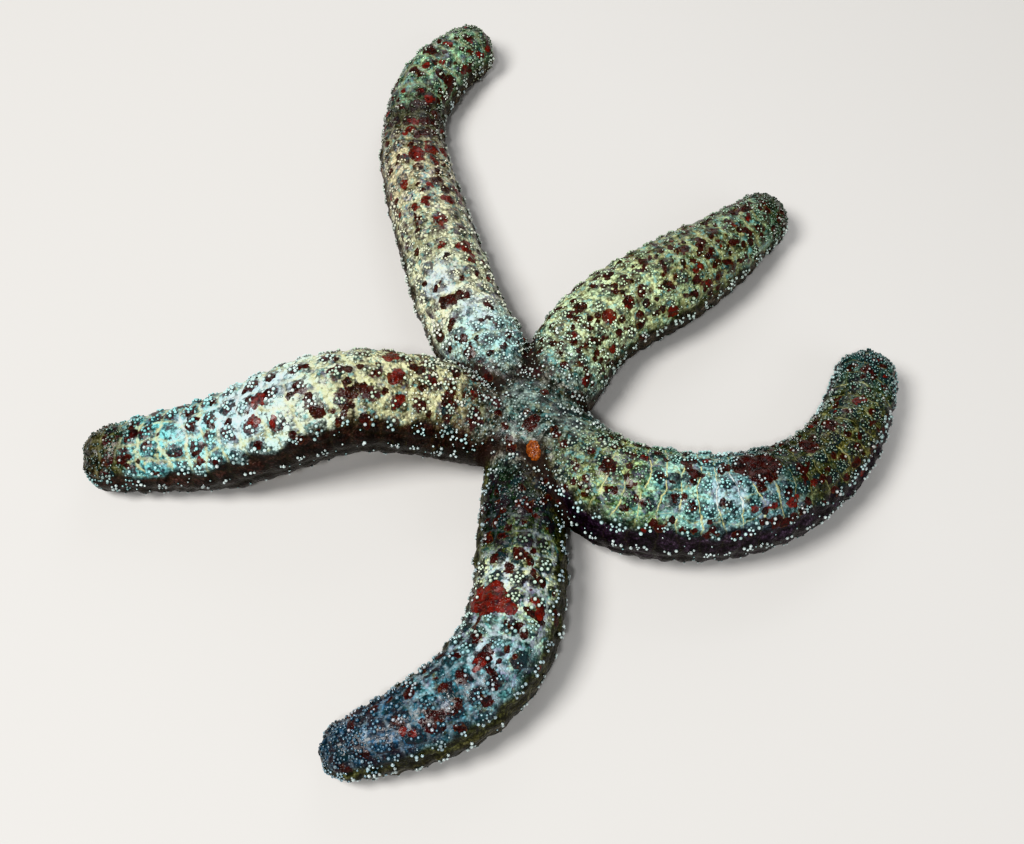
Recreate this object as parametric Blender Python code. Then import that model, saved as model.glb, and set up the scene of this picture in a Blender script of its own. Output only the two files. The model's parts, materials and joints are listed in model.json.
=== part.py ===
"""Dactylosaster starfish, a still model at life size, in metres with +Z up.

Five round arms leave a small disc. Each arm follows a route given by its bearings, rests on the
floor on the two flat margins of its furrow, and is divided into three lengths. Raised plates run
along the arms in rows, tube feet with suckers fill the furrows, and short spines edge them.
"""

import math
import random

import bmesh
import bpy
from mathutils import Vector

MM = 0.001
GAP = 0.3  # mm, between nodes that touch

# Arms, in mm and degrees. A bearing is the way the arm runs at a distance from the disc's centre,
# 0 along +X and turning towards +Y, and a girth is its radius there. "root" is where the free arm
# leaves the disc, and "arch" is (start, end, height) of the stretch that is lifted off the floor.
ARMS = {
    "arm_left": {
        "length": 60.0,
        "root": 13.0,
        "bearings": [(0, 178), (8, 172), (18, 184), (30, 192), (44, 186), (60, 186)],
        "girths": [(0, 5.6), (12, 6.3), (28, 6.7), (38, 6.4), (46, 5.6), (56, 4.4)],
        "arch": (3.0, 45.0, 5.2),
        "colour": (0.20, 0.34, 0.31),
    },
    "arm_back": {
        "length": 80.0,
        "root": 13.5,
        "bearings": [(0, 112), (12, 119), (26, 107), (44, 104), (56, 90), (66, 65), (80, 30)],
        "girths": [(0, 5.5), (12, 5.8), (25, 5.8), (48, 5.1), (58, 4.4), (68, 4.6), (76, 4.1)],
        "arch": None,
        "colour": (0.22, 0.30, 0.21),
    },
    "arm_back_right": {
        "length": 55.0,
        "root": 13.0,
        "bearings": [(0, 56), (12, 63), (24, 34), (34, 36), (44, 44), (55, 44)],
        "girths": [(0, 5.5), (10, 5.8), (24, 6.1), (32, 6.2), (40, 5.5), (51, 4.0)],
        "arch": None,
        "colour": (0.27, 0.36, 0.27),
    },
    "arm_right": {
        "length": 65.5,
        "root": 16.0,
        "bearings": [(0, -38), (10, -47), (20, -11), (30, 7), (42, 36), (54, 63), (65, 80)],
        "girths": [(0, 5.8), (12, 6.7), (21, 7.0), (34, 6.4), (44, 5.4), (61, 4.2)],
        "arch": None,
        "colour": (0.21, 0.33, 0.32),
    },
    "arm_front": {
        "length": 58.5,
        "root": 15.0,
        "bearings": [(0, -98), (12, -91), (26, -98), (36, -130), (46, -156), (58, -165)],
        "girths": [(0, 5.2), (12, 5.4), (22, 5.8), (34, 6.0), (46, 5.1), (56, 3.4)],
        "arch": None,
        "colour": (0.22, 0.33, 0.37),
    },
}
LENGTH_NAMES = ("base", "middle", "tip")

AXIS_HEIGHT = 0.90  # of the radius, so that the furrow's margins are cut flat by the floor
CAP_ROUNDNESS = 2.4  # how full the rounded end of an arm is, 2 for a ball
CAP_RINGS = (0.42, 0.74, 0.92, 0.985, 0.9985)  # shares of the end's length

# Plates: rows of them along the back and flanks, raised on the arm.
PLATE_PITCH = 3.8
PLATE_ROWS = 9
ROW_ANGLE = 28.0
PLATE_RISE = 0.08  # of the radius
RISE_SPREAD = 0.35

# Underside of a cross-section, as shares of the radius from the axis: across, up.
MARGIN = (0.63, -0.79)
FLAT_OUTER = (0.42, -0.94)
FURROW_LIP = (0.25, -0.94)
FURROW_ROOF = (0.16, -0.46)

FLOOR_CLEAR = 0.35  # of suckers and spines above the floor
END_MARGIN = 0.9  # from a length's cut end to its first and last foot and spine
TIP_MARGIN = 0.7  # the same at the arm's tip, of the rounded end's length

# Tube feet, in two rows along each furrow.
FOOT_PITCH = 4.4
FOOT_STAGGER = 0.22  # of the pitch, ahead on one side and back on the other
FOOT_ACROSS = 0.115  # of the arm's radius, from the midline
FOOT_RADIUS = 0.060  # of the arm's radius
LEAST_FOOT_RADIUS = 0.27
FOOT_APART = 1.3  # of the foot's radius, the least distance from the midline
SUCKER_FLARE = 1.45
SUCKER_HEIGHT = 0.35
FOOT_SINK = 0.6
FOOT_REACH = 3.6  # the longest tube foot, where the arm is arched
FOOT_SIDES = 5

# Spines that edge the furrow, one to a plate on each side.
SPINE_FOOT = (0.64, -0.75)
SPINE_AIM = (0.80, -0.40)
SPINE_LENGTH = 1.05
SPINE_SINK = 0.7
SPINE_RADIUS = 0.42
SPINE_POINT = 0.6  # of the spine's radius
SPINE_SIDES = 4

# Disc, mouth and madreporite.
DOME_RADIUS = 8.4
DOME_HALF_HEIGHT = 5.5
DOME_CENTRE_HEIGHT = 5.6
DOME_BUMP = 0.12
MOUTH_RADIUS = 2.9
MOUTH_TOP_RADIUS = 1.7
MOUTH_DEPTH = 3.6
MOUTH_EDGE = 0.6  # from the mouth's rim to the first tube foot
JAW_SPINE_PLACE = (3.9, 0.48, 1.1)  # out from the mouth's middle, to each side, and up
JAW_SPINE_LENGTH = 1.9
JAW_SPINE_DROP = 0.25  # how far it points down, of how far it points inwards
MADREPORITE_PLACE = (0.7, -6.1)
MADREPORITE_RADII = (1.05, 1.5)
MADREPORITE_SINK = 0.5  # of its underside, into a seat in the disc
MADREPORITE_PROUD = 0.4
MADREPORITE_CROWN = 0.45

SKIN_ROUGHNESS = 0.42
DISC_COLOUR = (0.22, 0.32, 0.33)
MADREPORITE_COLOUR = (0.62, 0.17, 0.04)
CUT = 60.0  # reach of a helper that cuts a whole side away
BELOW_FLOOR = 1.0  # start of a helper that cuts upwards from the floor
SHARP_ANGLE = 24.0  # folds steeper than this stay crisp, so that the plates show

chance = random.Random(7)


def read_curve(pairs, at):
    """The value at a distance, on a smooth curve through (distance, value) pairs."""
    last = len(pairs) - 1
    if at >= pairs[last][0]:
        return pairs[last][1]
    low = max(index for index in range(last) if pairs[index][0] <= at)

    def slope(index):
        before, after = pairs[max(index - 1, 0)], pairs[min(index + 1, last)]
        return (after[1] - before[1]) / (after[0] - before[0])

    span = pairs[low + 1][0] - pairs[low][0]
    share = (at - pairs[low][0]) / span
    rest = 1 - share
    return (
        (1 + 2 * share) * rest**2 * pairs[low][1]
        + share * rest**2 * span * slope(low)
        + share**2 * (3 - 2 * share) * pairs[low + 1][1]
        - share**2 * rest * span * slope(low + 1)
    )


def cap_length(arm):
    """The rounded end's length: the arm's last girth."""
    return arm["girths"][-1][1]


def radius_at(arm, along):
    """The arm's radius, with its rounded end."""
    cap = cap_length(arm)
    into_cap = min(max(0.0, along - (arm["length"] - cap)) / cap, 1.0)
    return read_curve(arm["girths"], along) * math.sqrt(1 - into_cap**CAP_ROUNDNESS)


def axis_height(arm, along):
    """The height of the arm's axis: resting on its margins, and lifted along its arch."""
    lift = 0.0
    if arm["arch"]:
        start, end, rise = arm["arch"]
        share = min(max((along - start) / (end - start), 0.0), 1.0)
        lift = rise * math.sin(math.pi * share) ** 2
    return AXIS_HEIGHT * read_curve(arm["girths"], along) + lift


def route(arm, step=0.25):
    """Points of the arm's axis, a small step apart, from the disc's centre to the tip."""
    points = [Vector((0.0, 0.0, axis_height(arm, 0.0)))]
    count = round(arm["length"] / step)
    for index in range(count):
        bearing = math.radians(read_curve(arm["bearings"], (index + 0.5) * step))
        place = points[-1] + Vector((math.cos(bearing), math.sin(bearing), 0.0)) * step
        place.z = axis_height(arm, (index + 1) * step)
        points.append(place)
    return points, step


class Axis:
    """An arm's axis, read at any distance from the disc's centre."""

    def __init__(self, arm):
        self.arm = arm
        self.points, self.step = route(arm)

    def place(self, along):
        position = min(max(along / self.step, 0.0), len(self.points) - 1.001)
        low = int(position)
        return self.points[low].lerp(self.points[low + 1], position - low)

    def frame(self, along):
        """Centre, way across to the right, and way up, of the cross-section there."""
        reach = 1.5
        ahead = self.place(along + reach) - self.place(max(along - reach, 0.0))
        if along + reach > self.arm["length"]:
            ahead.z = 0.0
        ahead.normalize()
        across = ahead.cross(Vector((0, 0, 1))).normalized()
        return self.place(along), across, across.cross(ahead)

    def point(self, along, across_share, up_share):
        """A point given as shares of the radius from the axis, kept on or above the floor."""
        centre, across, up = self.frame(along)
        radius = radius_at(self.arm, along)
        found = centre + across * across_share * radius + up * up_share * radius
        if found.z < 0:
            found -= up * (found.z / up.z)
        return found


def outline(raised, furrow=True):
    """A cross-section as (across, up) shares of the radius, with its plates raised by a share."""
    last_dip = PLATE_ROWS // 2 * 2 + 1
    points = []
    for index in range(-last_dip, last_dip + 1):
        angle = math.radians(index * ROW_ANGLE / 2)
        spread = 1 + RISE_SPREAD * chance.uniform(-1, 1)
        rise = raised * PLATE_RISE * spread * (index % 2 == 0)
        points.append((math.sin(angle) * (1 + rise), math.cos(angle) * (1 + rise)))
    below = [MARGIN, FLAT_OUTER]
    if furrow:
        below += [FURROW_LIP, FURROW_ROOF]
    return points + below + [(-across, up) for across, up in reversed(below)]


def tube(name, rings):
    """A closed mesh through rings of points, with both ends filled."""
    shape = bmesh.new()
    loops = [[shape.verts.new(point * MM) for point in ring] for ring in rings]
    for first, second in zip(loops, loops[1:]):
        for index, corner in enumerate(first):
            after = (index + 1) % len(first)
            shape.faces.new((corner, first[after], second[after], second[index]))
    shape.faces.new(loops[0])
    shape.faces.new(loops[-1])
    bmesh.ops.recalc_face_normals(shape, faces=shape.faces)
    mesh = bpy.data.meshes.new(name)
    shape.to_mesh(mesh)
    shape.free()
    return mesh


def add(name, mesh, collection=None):
    thing = bpy.data.objects.new(name, mesh)
    (collection or bpy.context.scene.collection).objects.link(thing)
    return thing


def peg(name, foot, aim, length, profile, sides):
    """A round peg along a line: profile lists (share of the length, radius)."""
    aim = aim.normalized()
    side = aim.orthogonal().normalized()
    other = aim.cross(side)
    rings = []
    for share, radius in profile:
        centre = foot + aim * length * share
        rings.append(
            [
                centre
                + side * math.cos(math.tau * turn / sides) * radius
                + other * math.sin(math.tau * turn / sides) * radius
                for turn in range(sides)
            ]
        )
    return tube(name, rings)


def arm_rings(axis, start, end, furrow=True):
    """Rings from start to end, in turn on the plates' crests and in the dips between them."""
    count = 2 * max(1, round((end - start) / PLATE_PITCH))
    rings = []
    for index in range(count + 1):
        along = start + (end - start) * index / count
        rings.append([axis.point(along, *share) for share in outline(index % 2, furrow)])
    return rings


def tip_rings(axis, start):
    """Rings up to the rounded end, closer together where it turns in."""
    end = axis.arm["length"]
    cap = cap_length(axis.arm)
    rings = arm_rings(axis, start, end - cap)
    for share in CAP_RINGS:
        rings.append([axis.point(end - cap + cap * share, *point) for point in outline(0.5)])
    return rings


def spine(root, aim, length):
    profile = [(0, SPINE_RADIUS), (1, SPINE_RADIUS * SPINE_POINT)]
    return peg("spine", root, aim, length, profile, SPINE_SIDES)


def tube_feet(axis, start, end, collection):
    """Two rows of tube feet with suckers, rooted in the roof of the furrow."""
    count = max(1, round((end - start) / FOOT_PITCH))
    pitch = (end - start) / count
    for index in range(count):
        for side in (-1, 1):
            along = start + pitch * (index + 0.5 + FOOT_STAGGER * side)
            radius = radius_at(axis.arm, along)
            foot_radius = max(FOOT_RADIUS * radius, LEAST_FOOT_RADIUS)
            across = side * max(FOOT_ACROSS, FOOT_APART * foot_radius / radius)
            root = axis.point(along, across, FURROW_ROOF[1])
            reach = min(root.z - FLOOR_CLEAR, FOOT_REACH)
            if reach < SUCKER_HEIGHT * 2:
                continue
            root.z += FOOT_SINK
            length = reach + FOOT_SINK
            wide = foot_radius * SUCKER_FLARE
            profile = [(0, foot_radius), (1 - SUCKER_HEIGHT / length, foot_radius), (1, wide)]
            mesh = peg("foot", root, Vector((0, 0, -1)), length, profile, FOOT_SIDES)
            add("foot", mesh, collection)


def furrow_spines(axis, start, end, collection):
    """One short spine to a plate on each side of the furrow, leaning outwards and down."""
    count = max(1, round((end - start) / PLATE_PITCH))
    pitch = (end - start) / count
    for index in range(count):
        for side in (-1, 1):
            along = start + pitch * (index + 0.5)
            centre, across, up = axis.frame(along)
            aim = across * side * SPINE_AIM[0] + up * SPINE_AIM[1]
            aim.normalize()
            root = axis.point(along, side * SPINE_FOOT[0], SPINE_FOOT[1]) - aim * SPINE_SINK
            length = SPINE_LENGTH * chance.uniform(0.9, 1.1) + SPINE_SINK
            lowest = FLOOR_CLEAR + SPINE_RADIUS * SPINE_POINT
            aim.z = max(aim.z, (lowest - root.z) / length)
            add("spine", spine(root, aim, length), collection)


def apply_boolean(thing, collection, operation):
    """Joins or cuts with every object of the collection, applied, and removes those objects."""
    modifier = thing.modifiers.new("join", "BOOLEAN")
    modifier.operation = operation
    modifier.operand_type = "COLLECTION"
    modifier.collection = collection
    modifier.solver = "MANIFOLD"
    graph = bpy.context.evaluated_depsgraph_get()
    mesh = bpy.data.meshes.new_from_object(thing.evaluated_get(graph))
    thing.modifiers.clear()
    thing.data = mesh
    for piece in list(collection.objects):
        bpy.data.objects.remove(piece, do_unlink=True)
    bpy.data.collections.remove(collection)


def keep_largest(thing):
    """Leaves only the mesh's largest connected surface."""
    shape = bmesh.new()
    shape.from_mesh(thing.data)
    bmesh.ops.remove_doubles(shape, verts=shape.verts, dist=1e-7)
    unseen = set(shape.verts)
    groups = []
    while unseen:
        group = set()
        edge = [unseen.pop()]
        while edge:
            corner = edge.pop()
            group.add(corner)
            for link in corner.link_edges:
                other = link.other_vert(corner)
                if other in unseen:
                    unseen.discard(other)
                    edge.append(other)
        groups.append(group)
    groups.sort(key=len)
    scraps = [corner for group in groups[:-1] for corner in group]
    bmesh.ops.delete(shape, geom=scraps, context="VERTS")
    shape.to_mesh(thing.data)
    shape.free()


def helper_collection():
    collection = bpy.data.collections.new("pieces")
    bpy.context.scene.collection.children.link(collection)
    return collection


def skin(name, colour, roughness=SKIN_ROUGHNESS):
    material = bpy.data.materials.new(name)
    material.use_nodes = True
    shader = material.node_tree.nodes["Principled BSDF"]
    shader.inputs["Base Color"].default_value = (*colour, 1)
    shader.inputs["Roughness"].default_value = roughness
    shader.inputs["Metallic"].default_value = 0.0
    return material


def finish(thing, colour):
    thing.data.materials.clear()
    thing.data.materials.append(skin(thing.name, colour))
    thing.data.shade_smooth()
    thing.data.set_sharp_from_angle(angle=math.radians(SHARP_ANGLE))


def make_arm(name, arm, axis):
    """Three lengths of one arm, parted by thin flat cuts."""
    start = arm["root"] + GAP / 2
    third = (arm["length"] - arm["root"]) / 3
    for index, length_name in enumerate(LENGTH_NAMES):
        last = index == 2
        end = arm["length"] if last else arm["root"] + third * (index + 1) - GAP / 2
        rings = tip_rings(axis, start) if last else arm_rings(axis, start, end)
        thing = add(f"{name}_{length_name}", tube("arm", rings))
        pieces = helper_collection()
        row_start = start + END_MARGIN
        row_end = end - cap_length(arm) * TIP_MARGIN if last else end - END_MARGIN
        tube_feet(axis, row_start, row_end, pieces)
        furrow_spines(axis, row_start, row_end, pieces)
        apply_boolean(thing, pieces, "UNION")
        keep_largest(thing)
        finish(thing, arm["colour"])
        start = end + GAP


def dome():
    """The middle of the disc, a low ellipsoid with small bumps."""
    shape = bmesh.new()
    bmesh.ops.create_icosphere(shape, subdivisions=3, radius=1.0)
    for corner in shape.verts:
        bump = DOME_BUMP * chance.uniform(-1, 1)
        corner.co.x *= (DOME_RADIUS + bump) * MM
        corner.co.y *= (DOME_RADIUS + bump) * MM
        corner.co.z = (corner.co.z * (DOME_HALF_HEIGHT + bump) + DOME_CENTRE_HEIGHT) * MM
    mesh = bpy.data.meshes.new("dome")
    shape.to_mesh(mesh)
    shape.free()
    return mesh


def furrow_rings(axis, end):
    """The furrow of one arm as a trough that cuts the disc from below."""
    (lip, _), (roof, height) = FURROW_LIP, FURROW_ROOF
    slope = (lip - roof) / (height - FURROW_LIP[1])
    rings = []
    for along in (0.0, end * 0.25, end * 0.5, end * 0.75, end + 1.0):
        centre, across, up = axis.frame(along)
        radius = radius_at(axis.arm, along)
        low = (-BELOW_FLOOR - centre.z) / radius
        wide = lip + slope * (FURROW_LIP[1] - low)
        shares = [(-wide, low), (wide, low), (roof, height), (-roof, height)]
        rings.append([centre + (across * a + up * u) * radius for a, u in shares])
    return rings


def cone(name, bottom_radius, top_radius, low, high, sides=10):
    rings = []
    for radius, height in ((bottom_radius, low), (top_radius, high)):
        rings.append(
            [
                Vector((math.cos(math.tau * i / sides), math.sin(math.tau * i / sides), 0)) * radius
                + Vector((0, 0, height))
                for i in range(sides)
            ]
        )
    return tube(name, rings)


def jaw_spines(collection):
    """A pair of spines on each jaw, between two furrows, leaning over the mouth."""
    bearings = sorted(arm["bearings"][0][1] % 360 for arm in ARMS.values())
    out, aside, height = JAW_SPINE_PLACE
    for first, second in zip(bearings, bearings[1:] + [bearings[0] + 360]):
        middle = math.radians((first + second) / 2)
        inward = Vector((-math.cos(middle), -math.sin(middle), 0))
        beside = Vector((-inward.y, inward.x, 0))
        for side in (-1, 1):
            root = beside * side * aside - inward * out + Vector((0, 0, height))
            aim = inward - Vector((0, 0, JAW_SPINE_DROP))
            add("spine", spine(root, aim, JAW_SPINE_LENGTH), collection)


def surface_under(thing, place):
    """The point of the object's upper surface above a place in mm, and the way out of it."""
    start = Vector((*place, CUT)) * MM
    found, point, normal, _ = thing.ray_cast(start, Vector((0, 0, -1)))
    return (point / MM, normal) if found else (Vector((*place, 0)), Vector((0, 0, 1)))


def oval(seat, radii, levels, sides=14):
    """An oval plug standing on a seat: levels lists (share of the radii, height)."""
    middle, out = seat
    beside = Vector((0, 1, 0)).cross(out).normalized()
    ahead = out.cross(beside)
    rings = []
    for share, height in levels:
        centre = middle + out * height
        turns = [math.tau * turn / sides for turn in range(sides)]
        rings.append(
            [
                centre + (beside * math.cos(t) * radii[0] + ahead * math.sin(t) * radii[1]) * share
                for t in turns
            ]
        )
    return tube("oval", rings)


def make_madreporite(seat):
    """The sieve plate, a low crowned oval in a seat of its own."""
    top, crown = MADREPORITE_PROUD, MADREPORITE_CROWN
    levels = [(1, -MADREPORITE_SINK), (1, top - crown), (0.72, top - crown * 0.3), (0.3, top)]
    finish(add("madreporite", oval(seat, MADREPORITE_RADII, levels)), MADREPORITE_COLOUR)


def make_disc(axes):
    """The disc and the roots of the arms, with a mouth below, furrows and the sieve plate's seat."""
    disc = add("disc", dome())
    stubs = helper_collection()
    for axis in axes.values():
        rings = arm_rings(axis, 0.0, axis.arm["root"] - GAP / 2, furrow=False)
        add("stub", tube("stub", rings), stubs)
    apply_boolean(disc, stubs, "UNION")
    cutters = helper_collection()
    for axis in axes.values():
        add("furrow", tube("furrow", furrow_rings(axis, axis.arm["root"])), cutters)
    add("mouth", cone("mouth", MOUTH_RADIUS, MOUTH_TOP_RADIUS, -BELOW_FLOOR, MOUTH_DEPTH), cutters)
    add("floor", cone("floor", CUT, CUT, -CUT, 0.0, sides=4), cutters)
    seat = surface_under(disc, MADREPORITE_PLACE)
    seat_radii = [radius + GAP for radius in MADREPORITE_RADII]
    seat_levels = [(1, -MADREPORITE_SINK - GAP), (1, DOME_HALF_HEIGHT)]
    add("seat", oval(seat, seat_radii, seat_levels), cutters)
    apply_boolean(disc, cutters, "DIFFERENCE")
    pieces = helper_collection()
    for axis in axes.values():
        tube_feet(axis, MOUTH_RADIUS + MOUTH_EDGE, axis.arm["root"] - END_MARGIN, pieces)
    jaw_spines(pieces)
    apply_boolean(disc, pieces, "UNION")
    keep_largest(disc)
    finish(disc, DISC_COLOUR)
    return seat


def stand_on_origin():
    """Parents every piece to one empty, so that the model's footprint is centred on the origin."""
    pieces = list(bpy.context.scene.objects)
    corners = [Vector(corner) for piece in pieces for corner in piece.bound_box]
    low = Vector([min(corner[axis] for corner in corners) for axis in range(3)])
    high = Vector([max(corner[axis] for corner in corners) for axis in range(3)])
    starfish = bpy.data.objects.new("starfish", None)
    starfish.location = (-(low.x + high.x) / 2, -(low.y + high.y) / 2, -low.z)
    bpy.context.scene.collection.objects.link(starfish)
    for piece in pieces:
        piece.parent = starfish


def main():
    for thing in list(bpy.data.objects):
        bpy.data.objects.remove(thing, do_unlink=True)
    axes = {name: Axis(arm) for name, arm in ARMS.items()}
    make_madreporite(make_disc(axes))
    for name, arm in ARMS.items():
        make_arm(name, arm, axes[name])
    stand_on_origin()


main()
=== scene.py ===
import itertools
import json
import math
import random

import bmesh
import bpy
import numpy as np
from mathutils import Matrix, Vector
from mathutils.bvhtree import BVHTree

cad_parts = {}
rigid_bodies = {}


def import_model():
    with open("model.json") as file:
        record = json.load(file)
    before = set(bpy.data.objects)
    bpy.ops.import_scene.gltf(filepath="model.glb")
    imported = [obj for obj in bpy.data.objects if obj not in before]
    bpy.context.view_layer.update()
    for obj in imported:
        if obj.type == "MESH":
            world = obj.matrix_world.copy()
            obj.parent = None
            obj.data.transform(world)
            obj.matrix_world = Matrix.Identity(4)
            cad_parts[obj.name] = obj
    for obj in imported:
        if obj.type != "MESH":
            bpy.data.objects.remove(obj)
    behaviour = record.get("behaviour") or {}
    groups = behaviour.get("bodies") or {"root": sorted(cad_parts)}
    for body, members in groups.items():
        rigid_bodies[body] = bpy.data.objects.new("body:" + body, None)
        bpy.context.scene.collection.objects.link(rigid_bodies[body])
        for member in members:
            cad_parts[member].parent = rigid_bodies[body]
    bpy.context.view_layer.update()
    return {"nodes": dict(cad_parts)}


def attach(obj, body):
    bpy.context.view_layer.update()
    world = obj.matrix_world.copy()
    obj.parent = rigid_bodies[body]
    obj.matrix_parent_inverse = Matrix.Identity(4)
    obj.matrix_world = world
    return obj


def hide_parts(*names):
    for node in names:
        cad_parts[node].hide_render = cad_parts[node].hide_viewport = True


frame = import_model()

# Dactylosaster starfish, life size. Sizes are in mm from the centre of the disc, angles in degrees.

scene = bpy.context.scene
mm = 0.001
discCentre = Vector((4.101, -13.599, 0.0))  # the disc's centre in the frame
sievePlace = (0.7, -6.1)  # the sieve plate's middle, from the disc's centre
chance = random.Random(11)
print("frame loaded:", len(frame["nodes"]), "nodes")


def addObject(name, mesh, collection=None):
    thing = bpy.data.objects.new(name, mesh)
    (collection or scene.collection).objects.link(thing)
    return thing


# Camera

cameraView = {
    "lens": 50.0,
    "sensor": 36.0,
    "elevation": 60.0,
    "distance": 192.0,
    "target": (-2.16, 0.351, 6.2025),  # from the disc's centre
}


def makeCamera(view):
    data = bpy.data.cameras.new("camera")
    data.lens = view["lens"]
    data.sensor_width = view["sensor"]
    data.clip_start = 0.01
    camera = addObject("camera", data)
    tilt = math.radians(view["elevation"])
    back = Vector((0, -math.cos(tilt), math.sin(tilt)))
    camera.location = (discCentre + Vector(view["target"]) + back * view["distance"]) * mm
    camera.rotation_euler = (-back).to_track_quat("-Z", "Y").to_euler()
    scene.camera = camera


makeCamera(cameraView)
print("camera placed")

# The arms. A bearing is the way an arm runs at a distance from the disc's centre, 0 along +X and
# turning towards +Y, and a girth is its radius there. "root" is where the free arm leaves the disc,
# "arch" is (start, end, height) of a lifted stretch, and "pitch" is from plate to plate.

arms = {
    "arm_left": {
        "length": 60.0,
        "root": 13.0,
        "bearings": [(0, 178), (8, 172), (18, 184), (30, 192), (44, 186), (60, 186)],
        "girths": [(0, 5.6), (12, 6.3), (28, 6.7), (38, 6.4), (46, 5.6), (56, 4.4)],
        "arch": (3.0, 45.0, 5.2),
        "pitch": 3.1,
        "wave": 0.4,
    },
    "arm_back": {
        "length": 80.0,
        "root": 13.5,
        "bearings": [(0, 112), (12, 119), (26, 107), (44, 104), (56, 90), (66, 65), (80, 30)],
        "girths": [(0, 5.5), (12, 5.8), (25, 5.8), (48, 5.1), (58, 4.4), (68, 4.6), (76, 4.1)],
        "arch": None,
        "pitch": 2.9,
        "wave": 1.7,
    },
    "arm_back_right": {
        "length": 55.0,
        "root": 13.0,
        "bearings": [(0, 56), (12, 63), (24, 34), (34, 36), (44, 44), (55, 44)],
        "girths": [(0, 5.5), (10, 5.8), (24, 6.1), (32, 6.2), (40, 5.5), (51, 4.0)],
        "arch": None,
        "pitch": 2.6,
        "wave": 3.1,
    },
    "arm_right": {
        "length": 65.5,
        "root": 16.0,
        "bearings": [(0, -38), (10, -47), (20, -11), (30, 7), (42, 36), (54, 63), (65, 80)],
        "girths": [(0, 5.8), (12, 6.7), (21, 7.0), (34, 6.4), (44, 5.4), (61, 4.2)],
        "arch": None,
        "pitch": 2.25,
        "wave": 4.2,
    },
    "arm_front": {
        "length": 58.5,
        "root": 15.0,
        "bearings": [(0, -98), (12, -91), (26, -98), (36, -130), (46, -156), (58, -165)],
        "girths": [(0, 5.2), (12, 5.4), (22, 5.8), (34, 6.0), (46, 5.1), (56, 3.4)],
        "arch": None,
        "pitch": 2.8,
        "wave": 5.5,
    },
}

section = {
    "axisHeight": 0.90,  # of the radius, so that the floor cuts the furrow's margins flat
    "capRoundness": 2.4,
    "round": 126.0,  # how far round each side the section stays a circle
    "margin": (0.63, -0.79),  # shares of the radius: across, up
    "flatOuter": (0.42, -0.94),
    "furrowLip": (0.25, -0.94),
    "furrowRoof": (0.16, -0.46),
    "routeStep": 0.25,
    "frameReach": 1.5,
}


def readCurve(pairs, at):
    marks, values = np.array(pairs, float).T
    last = len(marks) - 1
    index = np.arange(last + 1)
    before, after = np.maximum(index - 1, 0), np.minimum(index + 1, last)
    slopes = (values[after] - values[before]) / (marks[after] - marks[before])
    at = np.clip(np.asarray(at, float), marks[0], marks[-1])
    low = np.clip(np.searchsorted(marks, at, side="right") - 1, 0, last - 1)
    span = marks[low + 1] - marks[low]
    share = (at - marks[low]) / span
    rest = 1 - share
    return (
        (1 + 2 * share) * rest**2 * values[low]
        + share * rest**2 * span * slopes[low]
        + share**2 * (3 - 2 * share) * values[low + 1]
        - share**2 * rest * span * slopes[low + 1]
    )


def capLength(arm):
    return arm["girths"][-1][1]


def radiusAt(arm, along):
    cap = capLength(arm)
    intoCap = np.clip((along - (arm["length"] - cap)) / cap, 0.0, 1.0)
    return readCurve(arm["girths"], along) * np.sqrt(1 - intoCap ** section["capRoundness"])


def axisHeight(arm, along):
    height = section["axisHeight"] * readCurve(arm["girths"], along)
    if arm["arch"]:
        start, end, rise = arm["arch"]
        share = np.clip((along - start) / (end - start), 0.0, 1.0)
        height = height + rise * np.sin(math.pi * share) ** 2
    return height


def traceRoute(arm):
    step = section["routeStep"]
    count = round(arm["length"] / step)
    bearings = np.radians(readCurve(arm["bearings"], (np.arange(count) + 0.5) * step))
    moves = np.stack([np.cos(bearings), np.sin(bearings)], axis=1) * step
    flat = np.concatenate([[[0.0, 0.0]], np.cumsum(moves, axis=0)])
    marks = np.arange(count + 1) * step
    arm["marks"] = marks
    arm["route"] = np.column_stack([flat, axisHeight(arm, marks)])


def placeAt(arm, along):
    return np.stack([np.interp(along, arm["marks"], column) for column in arm["route"].T], axis=-1)


def unit(vectors):
    return vectors / np.maximum(np.linalg.norm(vectors, axis=-1, keepdims=True), 1e-12)


def framesAt(arm, along):
    along = np.atleast_1d(np.asarray(along, float))
    reach = section["frameReach"]
    ahead = placeAt(arm, along + reach) - placeAt(arm, np.maximum(along - reach, 0.0))
    ahead[along + reach > arm["length"], 2] = 0.0
    ahead = unit(ahead)
    across = unit(np.cross(ahead, [0.0, 0.0, 1.0]))
    return placeAt(arm, along), across, np.cross(across, ahead), ahead


def sectionAt(arm, along):
    # one cross-section: its centre, the ways across, up and ahead, and its radius
    return *(vectors[0] for vectors in framesAt(arm, along)), float(radiusAt(arm, along))


def pointsOn(arm, along, shares, overFloor=True):
    # points of one cross-section, placed in the frame, from shares of its radius
    centre, across, up, _, radius = sectionAt(arm, along)
    points = centre + (shares[:, :1] * across + shares[:, 1:] * up) * radius
    if overFloor:
        points = points - up * (np.minimum(points[:, 2], 0.0) / up[2])[:, None]
    return toFrame(points)


for eachArm in arms.values():
    traceRoute(eachArm)
print("arm routes traced")

# Mesh helpers


def toFrame(points):
    return (np.asarray(points) + np.array(discCentre)) * mm


def meshFrom(bm, name):
    bmesh.ops.recalc_face_normals(bm, faces=bm.faces)
    mesh = bpy.data.meshes.new(name)
    bm.to_mesh(mesh)
    bm.free()
    return mesh


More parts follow.
